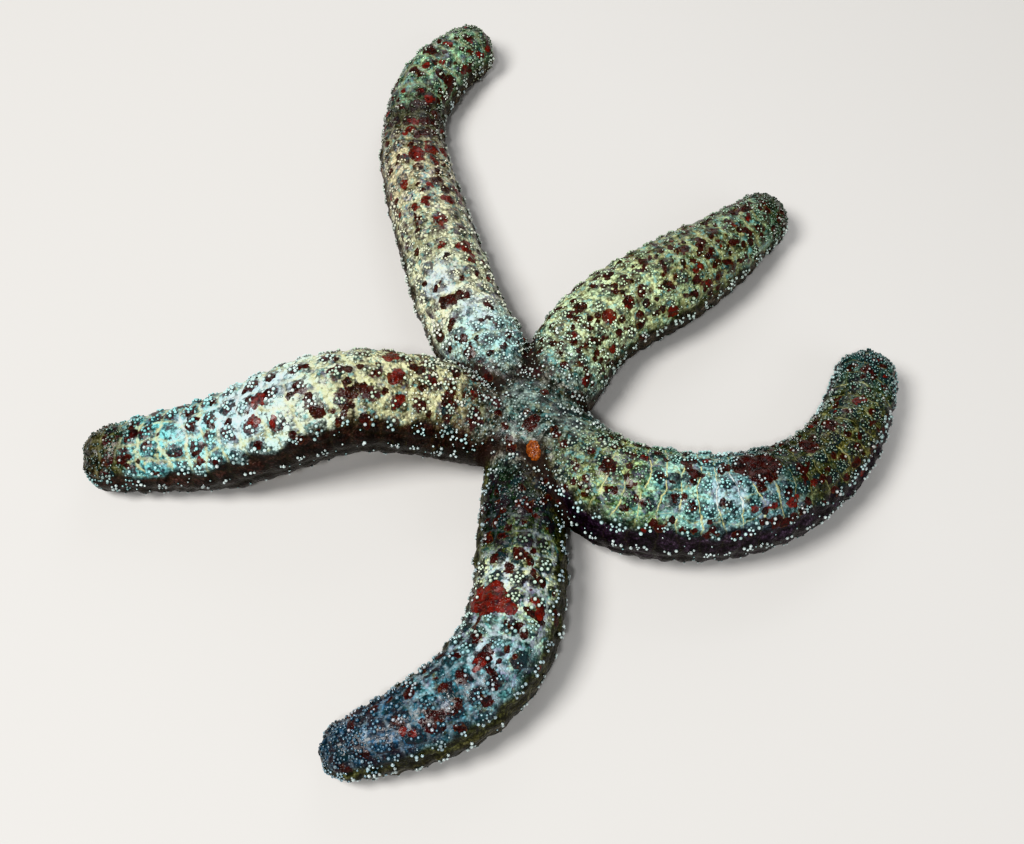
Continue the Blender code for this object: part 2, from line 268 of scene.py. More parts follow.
def extrudeCircle(bm, sides, count):
    # a circle extruded into so many levels, all still in one place
    levels = [bmesh.ops.create_circle(bm, cap_ends=False, segments=sides, radius=1.0)["verts"]]
    edges = bm.edges[:]
    for _ in range(count - 1):
        made = bmesh.ops.extrude_edge_only(bm, edges=edges)["geom"]
        fresh = {item for item in made if isinstance(item, bmesh.types.BMVert)}
        edges = [item for item in made if isinstance(item, bmesh.types.BMEdge)]
        edges = [edge for edge in edges if set(edge.verts) <= fresh]
        level = []
        for corner in levels[-1]:
            others = [edge.other_vert(corner) for edge in corner.link_edges]
            level.append(next(other for other in others if other in fresh))
        levels.append(level)
    return levels


def loft(rings, name):
    # a closed tube through the rings
    bm = bmesh.new()
    levels = extrudeCircle(bm, len(rings[0]), len(rings))
    for level, points in zip(levels, rings):
        for corner, point in zip(level, points):
            corner.co = point
    bm.faces.new(levels[0])
    bm.faces.new(levels[-1])
    return meshFrom(bm, name)


def applyModifiers(thing):
    graph = bpy.context.evaluated_depsgraph_get()
    mesh = bpy.data.meshes.new_from_object(thing.evaluated_get(graph))
    thing.modifiers.clear()
    old = thing.data
    thing.data = mesh
    bpy.data.meshes.remove(old)


def boolean(thing, meshes, operation):
    pieces = bpy.data.collections.new("pieces")
    scene.collection.children.link(pieces)
    for mesh in meshes:
        addObject("piece", mesh, pieces)
    modifier = thing.modifiers.new("join", "BOOLEAN")
    modifier.operation = operation
    modifier.operand_type = "COLLECTION"
    modifier.collection = pieces
    modifier.solver = "MANIFOLD"
    applyModifiers(thing)
    for piece in list(pieces.objects):
        bpy.data.objects.remove(piece, do_unlink=True)
    bpy.data.collections.remove(pieces)


def readValues(items, field, width=1, kind=np.float32):
    values = np.empty(len(items) * width, kind)
    items.foreach_get(field, values)
    return values


def readCorners(mesh):
    points = readValues(mesh.vertices, "co", 3).reshape(-1, 3).astype(float)
    return points / mm - np.array(discCentre)


def writeCorners(mesh, points):
    mesh.vertices.foreach_set("co", toFrame(points).astype(np.float32).ravel())
    mesh.update()


def readNormals(mesh):
    return readValues(mesh.vertex_normals, "vector", 3).reshape(-1, 3).astype(float)


def smoothStep(low, high, values):
    share = np.clip((values - low) / (high - low), 0.0, 1.0)
    return share * share * (3 - 2 * share)


def ripple(points, wave, seed, count=7):
    # a soft uneven field from -1 to 1, the sum of plane waves in scattered directions
    draw = np.random.default_rng(seed)
    aims = unit(draw.normal(size=(count, 3))) * math.tau / wave
    aims *= draw.uniform(0.7, 1.4, (count, 1))
    phases = draw.uniform(0, math.tau, count)
    return np.sin(points @ aims.T + phases).sum(axis=1) / math.sqrt(count) / 1.4


def batches(count, size):
    return [slice(start, start + size) for start in range(0, count, size)]


# Where a point lies on each arm: its distance along it, its turn round it, 0 on top and growing to
# the right seen towards the tip, and how far it is from the arm's own round surface


def locate(points):
    found = {key: np.empty((len(points), len(arms))) for key in ("along", "turn", "above", "radius")}
    for column, arm in enumerate(arms.values()):
        route = arm["route"]
        for rows in batches(len(points), 20000):
            part = points[rows]
            near = ((route**2).sum(axis=1) - 2 * part @ route.T).argmin(axis=1)
            along = near * section["routeStep"]
            ahead = framesAt(arm, along)[3]
            along = np.clip(along + ((part - route[near]) * ahead).sum(axis=1), 0.0, arm["length"])
            centre, across, up, _ = framesAt(arm, along)
            offset, radius = part - centre, radiusAt(arm, along)
            right, high = (offset * across).sum(axis=1), (offset * up).sum(axis=1)
            found["along"][rows, column] = along
            found["turn"][rows, column] = np.degrees(np.arctan2(right, high))
            found["radius"][rows, column] = radius
            found["above"][rows, column] = np.linalg.norm(offset, axis=1) - radius
    found["arm"] = found["above"].argmin(axis=1)
    nearest, found["second"] = np.sort(found["above"], axis=1)[:, :2].T
    found["gap"] = found["second"] - nearest
    return found


def own(found, key):
    return found[key][np.arange(len(found["arm"])), found["arm"]]


def perArm(found, table, key, column=None):
    # a value of each point's own arm
    values = [row[key] if column is None else row[key][column] for row in table.values()]
    return np.array(values)[found["arm"]]


# The lattice of plates: whole numbers fall on the plates' middles, counted along the arm and round it

plates = {
    "rowAngle": 28.0,
    "rows": 4,  # on each side of the row along the back
    "rowsEnd": (0.7, 0.3),  # how far past the last row the relief ends and is full
    "rise": 0.30,
    "riseSpread": 0.4,
    "squareness": 2.4,
    "roundness": 0.7,
    "reliefFrom": (-7.0, -2.0),  # from the arm's root, where the relief starts and is full
    "firstPlate": -5.0,  # from the arm's root
    "lastPlate": (1.2, 1.0),  # from the tip, by the count and by its place
    # how the lines of the lattice wave: height, by turn, by distance, and by the arm's own wave
    "wavesAlong": [(0.16, 0.050, 0.35, 1), (0.09, 0.110, -0.80, 2)],
    "wavesRound": [(0.13, 0.0, 0.45, 1), (0.09, 0.06, 1.10, 3)],
}


def lattice(arm, along, turn):
    a, b = along / arm["pitch"], turn / plates["rowAngle"]
    for height, byTurn, byAlong, shift in plates["wavesAlong"]:
        a = a + height * np.sin(turn * byTurn + along * byAlong + arm["wave"] * shift)
    for height, byTurn, byAlong, shift in plates["wavesRound"]:
        b = b + height * np.sin(turn * byTurn + along * byAlong + arm["wave"] * shift)
    return a, b


def platePlace(arm, column, row):
    # the distance along and the turn of a plate's middle
    along, turn = column * arm["pitch"], row * plates["rowAngle"]
    for _ in range(6):
        a, b = lattice(arm, along, turn)
        along -= (a - column) * arm["pitch"]
        turn -= (b - row) * plates["rowAngle"]
    return float(along), float(turn)


def plateRelief(arm, along, turn):
    a, b = lattice(arm, along, turn)
    column, row = np.round(a), np.round(b)
    power = plates["squareness"]
    far = (2 * np.abs(a - column)) ** power + (2 * np.abs(b - row)) ** power
    scatter = np.sin(column * 12.9898 + row * 78.233 + arm["wave"] * 37.7) * 43758.5453
    size = 1 + plates["riseSpread"] * (2 * (scatter - np.floor(scatter)) - 1)
    end, full = plates["rowsEnd"]
    onRows = smoothStep(plates["rows"] + end, plates["rows"] + full, np.abs(b))
    return np.clip(1 - far, 0, 1) ** plates["roundness"] * size * onRows


# Skin: one closed surface over the disc and all five arms

skinShape = {
    "sides": 48,
    "ringStep": 0.8,
    "capShares": (0.0, 0.2, 0.42, 0.6, 0.74, 0.85, 0.92, 0.965, 0.985, 0.9985),
    "cutterStep": 1.0,
    "cutterEnd": 0.3,  # from the tip, of the cap's length
    "cutterLow": -1.15,  # of the arm's radius
    "voxel": 0.43,
    "creaseWidths": (3.2, 2.4, 1.7, 1.1),  # each is smoothed once more than the one before
    "creaseRounds": 7,
    "creasePastRoot": 6.0,
    "creaseDepth": 0.45,
    "creaseGap": (1.5, 0.0),
    "creaseAbove": (3.6, 1.6),
    "creaseAlong": (3.5, 6.0),
    "foldHeight": 0.07,
    "foldWaves": ((1.6, 3), (0.9, 4, 0.6)),  # length and seed, and the finer one's share
    "foldStretch": (1, 1, 0.5),
    "calm": (0.3, 1.5),  # heights between which the folds set in, so that the margins stay flat
}

# Plain shapes for the skin. name: operator, its settings, size, and place from the disc's centre
blanks = {
    "dome": (
        bmesh.ops.create_icosphere,
        {"subdivisions": 4, "radius": 1.0},
        (8.4, 8.4, 5.5),
        (0, 0, 5.6),
    ),
    "mouth": (
        bmesh.ops.create_cone,
        {"cap_ends": True, "segments": 32, "radius1": 2.9, "radius2": 1.7, "depth": 4.6},
        (1, 1, 1),
        (0, 0, 1.3),
    ),
    "floor": (bmesh.ops.create_cube, {"size": 1.0}, (300, 300, 20), (0, 0, -10)),
}


def outline(sides):
    # the round section with its flat margins, as shares of the radius
    turns = (np.arange(sides) + 0.5) / sides * 360 - 180
    size, edge = np.abs(turns), math.radians(section["round"])
    margin, flat = section["margin"], section["flatOuter"]
    shares = [(math.sin(edge), math.cos(edge)), margin, flat, (0.0, flat[1])]
    knots = [section["round"], *(math.degrees(math.atan2(*pair)) for pair in (margin, flat)), 180.0]
    across, up = (np.interp(size, knots, column) for column in zip(*shares))
    inRound = size <= section["round"]
    across = np.where(inRound, np.sin(np.radians(size)), across)
    up = np.where(inRound, np.cos(np.radians(size)), up)
    return np.column_stack([across * np.sign(turns), up])


def stations(arm):
    cap = capLength(arm)
    straight = np.arange(0.0, arm["length"] - cap, skinShape["ringStep"])
    return [*straight, *(arm["length"] - cap + cap * np.array(skinShape["capShares"]))]


def armTube(arm):
    shares = outline(skinShape["sides"])
    return loft([pointsOn(arm, along, shares) for along in stations(arm)], "tube")


def furrowCutter(arm):
    (lip, low), (roof, height) = section["furrowLip"], section["furrowRoof"]
    bottom = skinShape["cutterLow"]
    wide = lip + (lip - roof) / (height - low) * (low - bottom)
    shares = np.array([(-wide, bottom), (wide, bottom), (roof, height), (-roof, height)])
    last = arm["length"] - skinShape["cutterEnd"] * capLength(arm)
    ends = np.arange(0.0, last, skinShape["cutterStep"])
    return loft([pointsOn(arm, along, shares, overFloor=False) for along in ends], "furrow")


def blank(name):
    operator, settings, size, place = blanks[name]
    bm = bmesh.new()
    operator(bm, **settings)
    bmesh.ops.scale(bm, verts=bm.verts, vec=Vector(size) * mm)
    bmesh.ops.translate(bm, verts=bm.verts, vec=(Vector(place) + discCentre) * mm)
    return meshFrom(bm, name)


def roundCreases(mesh):
    # the union's sharp creases between arms become soft hollows
    found = locate(readCorners(mesh))
    inDisc = own(found, "along") < perArm(found, arms, "root") + skinShape["creasePastRoot"]
    bm = bmesh.new()
    bm.from_mesh(mesh)
    bm.verts.ensure_lookup_table()
    for width in skinShape["creaseWidths"]:
        chosen = np.flatnonzero(inDisc & (found["second"] < width))
        corners = [bm.verts[index] for index in chosen]
        for _ in range(skinShape["creaseRounds"]):
            bmesh.ops.smooth_vert(
                bm, verts=corners, factor=0.5, use_axis_x=True, use_axis_y=True, use_axis_z=True
            )
    bm.to_mesh(mesh)
    bm.free()


def creaseShare(found, gaps):
    # 1 where two arms meet
    return smoothStep(*gaps, found["gap"]) * smoothStep(*skinShape["creaseAbove"], found["second"])


def raisePlates(mesh):
    points, normals = readCorners(mesh), readNormals(mesh)
    found = locate(points)
    rise = np.zeros(len(points))
    for column, arm in enumerate(arms.values()):
        rows = found["arm"] == column
        along, turn = found["along"][rows, column], found["turn"][rows, column]
        start, full = plates["reliefFrom"]
        fade = smoothStep(arm["root"] + start, arm["root"] + full, along)
        rise[rows] = plates["rise"] * fade * plateRelief(arm, along, turn)
    (wave, seed), (fineWave, fineSeed, fine) = skinShape["foldWaves"]
    folds = ripple(points * skinShape["foldStretch"], wave, seed) + fine * ripple(points, fineWave, fineSeed)
    calm = smoothStep(*skinShape["calm"], points[:, 2])
    rise += skinShape["foldHeight"] * folds * calm
    crease = skinShape["creaseDepth"] * creaseShare(found, skinShape["creaseGap"]) * calm
    rise -= crease * smoothStep(*skinShape["creaseAlong"], own(found, "along"))
    points += normals * rise[:, None]
    points[:, 2] = np.maximum(points[:, 2], 0.0)
    writeCorners(mesh, points)


def makeSkin():
    skin = addObject("skin", blank("dome"))
    boolean(skin, [armTube(arm) for arm in arms.values()], "UNION")
    cutters = [furrowCutter(arm) for arm in arms.values()]
    boolean(skin, cutters + [blank("mouth"), blank("floor")], "DIFFERENCE")
    remesh = skin.modifiers.new("remesh", "REMESH")
    remesh.mode = "VOXEL"
    remesh.voxel_size = skinShape["voxel"] * mm
    applyModifiers(skin)
    roundCreases(skin.data)
    raisePlates(skin.data)
    skin.data.shade_smooth()
    return skin


skin = makeSkin()
print("skin made:", len(skin.data.vertices), "corners,", len(skin.data.polygons), "faces")

# Markings. A blotch is (distance along, turn, radius), a painted highlight the same, and a tint (distance,
# colour).

markings = {
    "arm_left": {
        "tints": [
            (5, (0.085, 0.075, 0.05)),
            (10.5, (0.27, 0.23, 0.14)),
            (15, (0.72, 0.72, 0.42)),
            (22, (0.46, 0.47, 0.28)),
            (29, (0.8, 1.0, 0.88)),
            (36, (0.62, 0.92, 0.9)),
            (42, (0.3, 0.74, 0.74)),
            (50, (0.17, 0.58, 0.6)),
            (54, (0.05, 0.06, 0.022)),
            (60, (0.03, 0.018, 0.01)),
        ],
        # the flanks' dark skin, partly its own colour and partly painted shade, darkest low down
        "flank": (0.006, 0.0036, 0.0034),
        "flankEdge": (0.026, 0.012, 0.010),
        "flankAt": (46.0, 64.0),  # on its left and right, seen towards the tip
        "flankGain": 20.0,  # degrees more at the tip
        "grain": (0.34, 0.62, 0.62),
        "spotChance": (0.85, 0.40),  # near the disc and at the tip
        "spotSize": (0.35, 0.74),
        "wash": (0.60, 0.25, 0.50),
        "folds": (3.0, 6.5, 15.0, 24.0),  # where streaks cross the arm: starts, full, full, ends
        "streak": 0.0,
        "ribs": (0.80, 0.55),
        "ribBlue": 0.15,
        "ribWidth": 0.14,
        "bed": (0.95, 0.8),  # how dark the beds of the granules are, and how reddish
        "singles": 0.6,
        "bedSize": 1.12,
        "cluster": {"count": (5, 10), "size": (0.15, 0.26), "spread": 0.9},
        "specks": 60,
        "brickShare": 0.12,
        "maroon": [(27, -30, 1.15), (23, -17, 0.95), (17, 15, 0.9), (13, -15, 0.9), (12, 25, 0.8)],
        "brick": [(33, -1, 1.1), (34, -23, 0.9), (19, 0, 1.1), (19, 31, 1.1), (43, -50, 0.7)],
        "highlights": [(36, -2, 4.0), (31, 12, 2.5), (44, 4, 2.0)],
    },
    "arm_back": {
        "tints": [
            (5, (0.14, 0.27, 0.27)),
            (14, (0.52, 0.92, 0.9)),
            (20, (0.84, 0.86, 0.6)),
            (30, (0.5, 0.54, 0.36)),
            (44, (0.52, 0.45, 0.29)),
            # a dark band, partly its own colour and partly painted shade
            (54, (0.075, 0.075, 0.045)),
            (58, (0.036, 0.038, 0.027)),
            (63, (0.13, 0.24, 0.14)),
            (68, (0.19, 0.4, 0.23)),
            (80, (0.08, 0.15, 0.08)),
        ],
        "flank": (0.035, 0.024, 0.016),
        "flankEdge": (0.060, 0.045, 0.030),
        "flankAt": (72.0, 72.0),
        "flankGain": 0.0,
        "grain": (0.52, 0.56, 0.42),
        "spotChance": (0.60, 0.95),
        "spotSize": (0.42, 0.95),
        "wash": (0.22, 0.40, 0.50),
        "streak": 0.3,
        "ribs": (0.40, 0.30),
        "ribBlue": 0.15,
        "ribWidth": 0.17,
        "bed": (0.70, 0.5),
        "singles": 0.85,
        "bedSize": 1.1,
        "cluster": {"count": (3, 7), "size": (0.13, 0.22), "spread": 1.0},
        "specks": 90,
        "brickShare": 0.4,
        "maroon": [(54.5, 23, 0.8), (65, 63, 0.8), (40, 32, 0.9), (20, -16, 1.0)],
        "brick": [(48, 25, 1.1), (47, 0, 1.3), (40, 63, 1.1), (28.5, 29, 1.1), (34, 5, 1.0)],
        "highlights": [(17, 10, 3.0), (24, -20, 3.0)],
    },
    "arm_back_right": {
        "tints": [
            (5, (0.18, 0.28, 0.25)),
            (17, (0.62, 0.8, 0.48)),
            (26, (0.4, 0.52, 0.28)),
            (33, (0.2, 0.28, 0.15)),
            (39, (0.19, 0.24, 0.13)),
            (46, (0.18, 0.32, 0.19)),
            (51, (0.06, 0.11, 0.07)),
            (55, (0.03, 0.05, 0.03)),
        ],
        "flank": (0.030, 0.022, 0.014),
        "flankEdge": (0.055, 0.042, 0.028),
        "flankAt": (76.0, 74.0),
        "flankGain": 0.0,
        "grain": (0.44, 0.58, 0.48),
        "spotChance": (0.65, 0.80),
        "spotSize": (0.34, 0.66),
        "wash": (0.55, 0.05, 0.60),
        "streak": 0.6,
        "ribs": (0.35, 0.15),
        "ribBlue": 0.0,
        "ribWidth": 0.16,
        "bed": (0.70, 0.7),
        "singles": 0.95,
        "bedSize": 1.05,
        "cluster": {"count": (3, 8), "size": (0.12, 0.20), "spread": 1.15},
        "specks": 260,
        "brickShare": 0.1,
        "maroon": [(17, -15, 0.8), (22.5, 20, 0.9), (36.5, 3, 1.0), (47.5, -12, 0.9), (43, -5, 0.7)],
        "brick": [(18.5, 20, 1.1), (34, 31, 0.9), (28.5, 64, 0.8), (7.6, 48, 0.8)],
        "highlights": [],
    },
    "arm_right": {
        "tints": [
            (5, (0.12, 0.15, 0.12)),
            (13, (0.23, 0.29, 0.12)),
            (19, (0.15, 0.27, 0.12)),
            (26, (0.27, 0.56, 0.53)),
            (33, (0.1, 0.2, 0.215)),
            # dark, partly a maroon patch and partly painted shade
            (39, (0.042, 0.058, 0.035)),
            (47, (0.1, 0.09, 0.028)),
            (56, (0.085, 0.105, 0.05)),
            (65, (0.035, 0.09, 0.09)),
        ],
        "flank": (0.013, 0.009, 0.013),
        "flankEdge": (0.034, 0.024, 0.036),
        "flankAt": (64.0, 49.0),
        "flankGain": 6.0,
        "grain": (0.34, 0.62, 0.62),
        "spotChance": (0.60, 0.80),
        "spotSize": (0.32, 0.72),
        "wash": (0.40, 0.50, 0.50),
        "streak": 0.2,
        "ribs": (1.0, 0.25),
        "ribBlue": 0.0,
        "ribWidth": 0.062,
        "bed": (0.95, 0.2),
        "singles": 1.2,
        "bedSize": 0.95,
        "cluster": {"count": (9, 15), "size": (0.12, 0.21), "spread": 1.05},
        "specks": 120,
        "brickShare": 0.12,
        "maroon": [(34.4, -8, 2.4), (32.6, -24, 2.1), (14.5, 5, 1.0), (43, -18, 1.3), (48, -25, 1.2)]
        + [(21, 51, 0.8)],
        "brick": [(34, 34, 0.7), (36.5, 38, 0.9)],
        "highlights": [(29, 12, 2.4)],
    },
    "arm_front": {
        "tints": [
            # the dark base, partly its own dark green and partly a painted shadow of arm_left
            (5, (0.014, 0.024, 0.016)),
            (17, (0.008, 0.017, 0.008)),
            (20.5, (0.12, 0.15, 0.06)),
            (24, (0.56, 0.62, 0.35)),
            (29, (0.3, 0.42, 0.28)),
            (35, (0.13, 0.28, 0.3)),
            (43, (0.032, 0.12, 0.16)),
            (50, (0.03, 0.085, 0.155)),
            (58, (0.018, 0.036, 0.055)),
        ],
        "flank": (0.032, 0.028, 0.014),
        "flankEdge": (0.042, 0.045, 0.018),
        "flankAt": (47.0, 60.0),
        "flankGain": 8.0,
        "grain": (0.36, 0.58, 0.68),
        "spotChance": (0.80, 0.30),
        "spotSize": (0.38, 0.85),
        "wash": (0.40, 0.85, 0.50),
        "streak": 0.0,
        "ribs": (0.60, 0.45),
        "ribBlue": 0.85,
        "ribWidth": 0.14,
        "bed": (0.95, 0.3),
        "singles": 0.5,
        "bedSize": 1.2,
        "cluster": {"count": (5, 11), "size": (0.16, 0.27), "spread": 0.9},
        "specks": 40,
        "brickShare": 0.1,
        "maroon": [(21.5, 4, 0.9), (23.6, 12, 0.8), (29, -33, 1.0), (31, -18, 0.8), (44, -16, 0.9)],
        "brick": [(28.5, 40, 2.2), (27.9, 23, 1.9), (28.5, 8, 1.3), (37, 2, 0.8), (47.5, -27, 0.8)],
        "highlights": [(25, 20, 2.0), (35.5, 8, 1.6), (52, 30, 1.6)],
    },
}

discMarks = {
    "drift": (2.5, 7.0, 22),  # how far the tints stray along an arm, the wave's length and seed
    "tint": (0.120, 0.165, 0.145),
    "reach": (10.5, 5.0),  # where an arm's colours end and the disc's are full
    # painted shade in the clefts where two arms meet
    "crotchShade": (0.085, 0.055, 0.042),
    "crotchAbove": (3.4, 0.8),
    "crotchAlong": (2.5, 6.0),
    "crotchShare": 0.8,
    "under": (0.33, 0.24, 0.16),
    "underAt": (138.0, 150.0),
    "underEnd": (1.0, 4.0),  # from the tip
    # furrow: painted shade, darker deeper in the furrow under the arm
    "furrow": (0.13, 0.075, 0.045),
    "furrowShadeAt": (-0.22, -0.45),  # how deep, of the radius
    # mouth: painted shade inside the mouth's hollow
    "mouth": (0.045, 0.018, 0.014),
    "mouthReach": (3.4, 2.7),
    "mouthLow": (0.4, 1.6),
    "mouthTop": (6.0, 5.0),
    "wash": (0.35, 0.15, 0.55),
    "streak": 0.3,
    "armFrom": (-5, 1),  # from the root, where an arm's own patterns start and are full
    "ownArm": (0.2, 1.4),  # gaps to the next arm over which an arm's own patterns fade
    "flankTakes": {"ribs": 0.92, "folds": 0.6},
    "creaseGap": (2.2, 0.3),
    "beds": 110,
    "bedReach": 13.0,
    "bedSize": (0.45, 0.90),
    "clearSieve": 2.2,
    # place and reach of the disc's own maroon spots
    "maroon": [(0.2, -2.7, 1.0), (0.9, -2.0, 0.6), (-0.2, -0.9, 0.45), (3.4, -4.0, 0.6)]
    + [(3.7, -4.9, 0.6), (4.5, -6.4, 0.65), (-2.3, -5.6, 0.7), (2.2, 2.3, 0.5), (-5.4, 5.0, 0.7)]
    + [(-2.6, -4.2, 0.55), (-3.1, -2.6, 0.5), (-3.9, -1.2, 0.45)],
}

# How an arm's flank begins, in degrees past its start
flanks = {
    "uneven": (7, 4.0, 21),  # degrees, and the wave's length and seed
    "border": (-8, 9),
    # low: where the flank grows darker towards its foot, partly its own colour and partly painted shade
    "low": (2, 42),
    "spotsPast": 8,
}

# How blotches, spots and specks are drawn
spotRules = {
    "blotch": {"circles": 4, "shift": 0.55, "girth": 6, "size": (0.5, 0.9)},
    "namedSize": 1.0,  # a blotch above this size is kept clear
    "clear": 0.7,
    "speckClear": 0.35,
    "speckSize": (0.32, 0.56),
    "speckEnds": (5, 3.0),  # before the arm's root, and before its tip
    "speckSide": 0.95,
    "raised": 0.1,
    "aside": (0.2, 0.75),  # from its plate's middle, in mm
    "wander": (1.0, 12.0),  # from one circle of a spot to the next: mm along, and degrees
    "circles": (1, 2, 2, 3),
    "size": (0.6, 1.0),
}


def surfacePoint(arm, along, turn, raised=0.0):
    # a point of the arm's own round surface, and the way out of it
    centre, across, up, _, radius = sectionAt(arm, along)
    angle = math.radians(turn)
    out = across * math.sin(angle) + up * math.cos(angle)
    return centre + out * (radius + raised), out


def surfaceTree(thing):
    mesh = thing.data
    points, normals = readCorners(mesh), readNormals(mesh)
    faces = [tuple(face.vertices) for face in mesh.polygons]
    return BVHTree.FromPolygons(points.tolist(), faces), normals, faces


skinTree, skinNormals, skinFaces = surfaceTree(skin)


def castTo(start, aim, reach):
    # the place on the skin that a line from start meets, and the soft way out of it there
    place, _, face, _ = skinTree.ray_cast(Vector(start), Vector(aim), reach)
    if place is None:
        return None
    return np.array(place), unit(skinNormals[list(skinFaces[face])].mean(axis=0))


def castToArm(arm, along, turn, reach=1.6):
    point, out = surfacePoint(arm, along, turn)
    return castTo(point + out * reach, -out, reach * 2)


def castDown(x, y, start=20.0, reach=15.0):
    return castTo((x, y, start), (0, 0, -1), reach)


def scatter(reach):
    # a place drawn at random within so far of a middle
    angle = chance.uniform(0, math.tau)
    far = reach * math.sqrt(chance.random())
    return far * math.cos(angle), far * math.sin(angle)


def spotField(points, spots):
    # about how far in mm a point lies inside its nearest spot, negative outside
    spots = np.array(spots, float)
    middles, sizes = spots[:, :3], spots[:, 3]
    field = np.empty(len(points))
    for rows in batches(len(points), 5000):
        part = points[rows]
        far = (part**2).sum(axis=1)[:, None] - 2 * part @ middles.T + (middles**2).sum(axis=1)
        field[rows] = ((sizes**2 - far) / (2 * sizes)).max(axis=1)
    return np.maximum(field, -4.0)


def outwardShare(along, root, length):
    return np.clip((along - root) / (length - root), 0.0, 1.0)


def flankStart(name, along, turn):
    arm, looks = arms[name], markings[name]
    outward = float(outwardShare(along, arm["root"], arm["length"]))
    return looks["flankAt"][turn > 0] + looks["flankGain"] * outward


def drawPlates():
    # every plate of every arm, with the centre of its cluster and the spot beside it
    drawn = []
    for name, arm in arms.items():
        looks = markings[name]
        first = math.ceil((arm["root"] + plates["firstPlate"]) / arm["pitch"])
        last = math.floor((arm["length"] - plates["lastPlate"][0]) / arm["pitch"])
        for column in range(first, last + 1):
            for row in range(-plates["rows"], plates["rows"] + 1):
                along, turn = platePlace(arm, column, row)
                if along > arm["length"] - plates["lastPlate"][1]:
                    continue
                spot = None
                onBack = abs(turn) < flankStart(name, along, turn) + flanks["spotsPast"]
                near, atTip = looks["spotChance"]
                outward = float(outwardShare(along, arm["root"], arm["length"]))
                if onBack and chance.random() < near + (atTip - near) * outward:
                    angle = chance.uniform(0, math.tau)
                    reach = chance.uniform(*spotRules["aside"])
                    size = chance.uniform(*looks["spotSize"])
                    aside = math.degrees(reach * math.sin(angle) / float(radiusAt(arm, along)))
                    spot = (along + reach * math.cos(angle), turn + aside, size)
                drawn.append({"arm": name, "along": along, "turn": turn, "spot": spot})
    return drawn


def listSpots(kind):
    # each blotch is a few circles run together
    spots, rule = [], spotRules["blotch"]
    for name, arm in arms.items():
        for along, turn, size in markings[name][kind]:
            shift = size * rule["shift"]
            for _ in range(rule["circles"]):
                beside = along + chance.uniform(-shift, shift)
                aside = turn + math.degrees(chance.uniform(-shift, shift) / rule["girth"])
                place, _ = surfacePoint(arm, beside, aside)
                spots.append((*place, size * chance.uniform(*rule["size"])))
    return spots


def isClear(place, spots, gap):
    # whether a place lies further than the gap from the edge of every spot
    return all(math.dist(place, spot[:3]) > spot[3] + gap for spot in spots)


def drawSpots():
    # the named blotches, the disc's spots, one beside many of the plates, and specks between
    brick, maroon = listSpots("brick"), listSpots("maroon")
    named = [spot for spot in brick + maroon if spot[3] > spotRules["namedSize"]]
    maroon += [(*castDown(x, y)[0], size) for x, y, size in discMarks["maroon"]]
    alongStep, turnStep = spotRules["wander"]
    for plate in plateList:
        if plate["spot"]:
            along, turn, size = plate["spot"]
            mine = brick if chance.random() < markings[plate["arm"]]["brickShare"] else maroon
            for _ in range(chance.choice(spotRules["circles"])):
                place, _ = surfacePoint(arms[plate["arm"]], along, turn, spotRules["raised"])
                if isClear(place, named, spotRules["clear"]):
                    mine.append((*place, size * chance.uniform(*spotRules["size"])))
                along += chance.uniform(-alongStep, alongStep) * size
                turn += chance.uniform(-turnStep, turnStep) * size
    (before, beforeTip), side = spotRules["speckEnds"], spotRules["speckSide"]
    for name, arm in arms.items():
        for _ in range(markings[name]["specks"]):
            along = chance.uniform(arm["root"] - before, arm["length"] - beforeTip)
            turn = chance.uniform(-side, side) * markings[name]["flankAt"][0]
            place, _ = surfacePoint(arm, along, turn, spotRules["raised"])
            if isClear(place, maroon + brick, spotRules["speckClear"]):
                maroon.append((*place, chance.uniform(*spotRules["speckSize"])))
    return brick, maroon


def clearOfSieve(x, y):
    return math.hypot(x - sievePlace[0], y - sievePlace[1]) > discMarks["clearSieve"]


def listDiscBeds():
    # the dark beds of the disc's own clusters
    beds = []
    for _ in range(discMarks["beds"]):
        x, y = scatter(discMarks["bedReach"])
        hit = castDown(x, y)
        if hit is not None and clearOfSieve(x, y):
            beds.append((*hit[0], chance.uniform(*discMarks["bedSize"])))
    return beds


def plateBed(plate):
    place, _ = surfacePoint(arms[plate["arm"]], plate["along"], plate["turn"], spotRules["raised"])
    return *place, markings[plate["arm"]]["bedSize"]


plateList = drawPlates()
brickSpots, maroonSpots = drawSpots()
# the painted highlights: pale wet glints laid into the skin's colour
highlightSpots = [
    (*surfacePoint(arms[name], along, turn)[0], size)
    for name, looks in markings.items()
    for along, turn, size in looks["highlights"]
]
discBeds = listDiscBeds()
bedSpots = [plateBed(plate) for plate in plateList] + discBeds
print("markings drawn:", len(plateList), "plates,", len(maroonSpots), "spots")


def flankShare(found, points):
    # 0 on the back, 1 on the flanks, with an uneven border, and how far down the flank, where it is painted
    # darker: partly its own dark skin, partly painted shade
    along, turn = own(found, "along"), own(found, "turn")
    left, right = (perArm(found, markings, "flankAt", side) for side in (0, 1))
    starts = np.where(turn < 0, left, right)
    outward = outwardShare(along, perArm(found, arms, "root"), perArm(found, arms, "length"))
    starts = starts + perArm(found, markings, "flankGain") * outward
    uneven, wave, seed = flanks["uneven"]
    turn = np.abs(turn) + uneven * ripple(points, wave, seed)
    spans = (flanks["border"], flanks["low"])
    return [smoothStep(starts + low, starts + high, turn) for low, high in spans]


def mixTint(tint, colour, share):
    return tint * (1 - share[:, None]) + np.array(colour) * share[:, None]


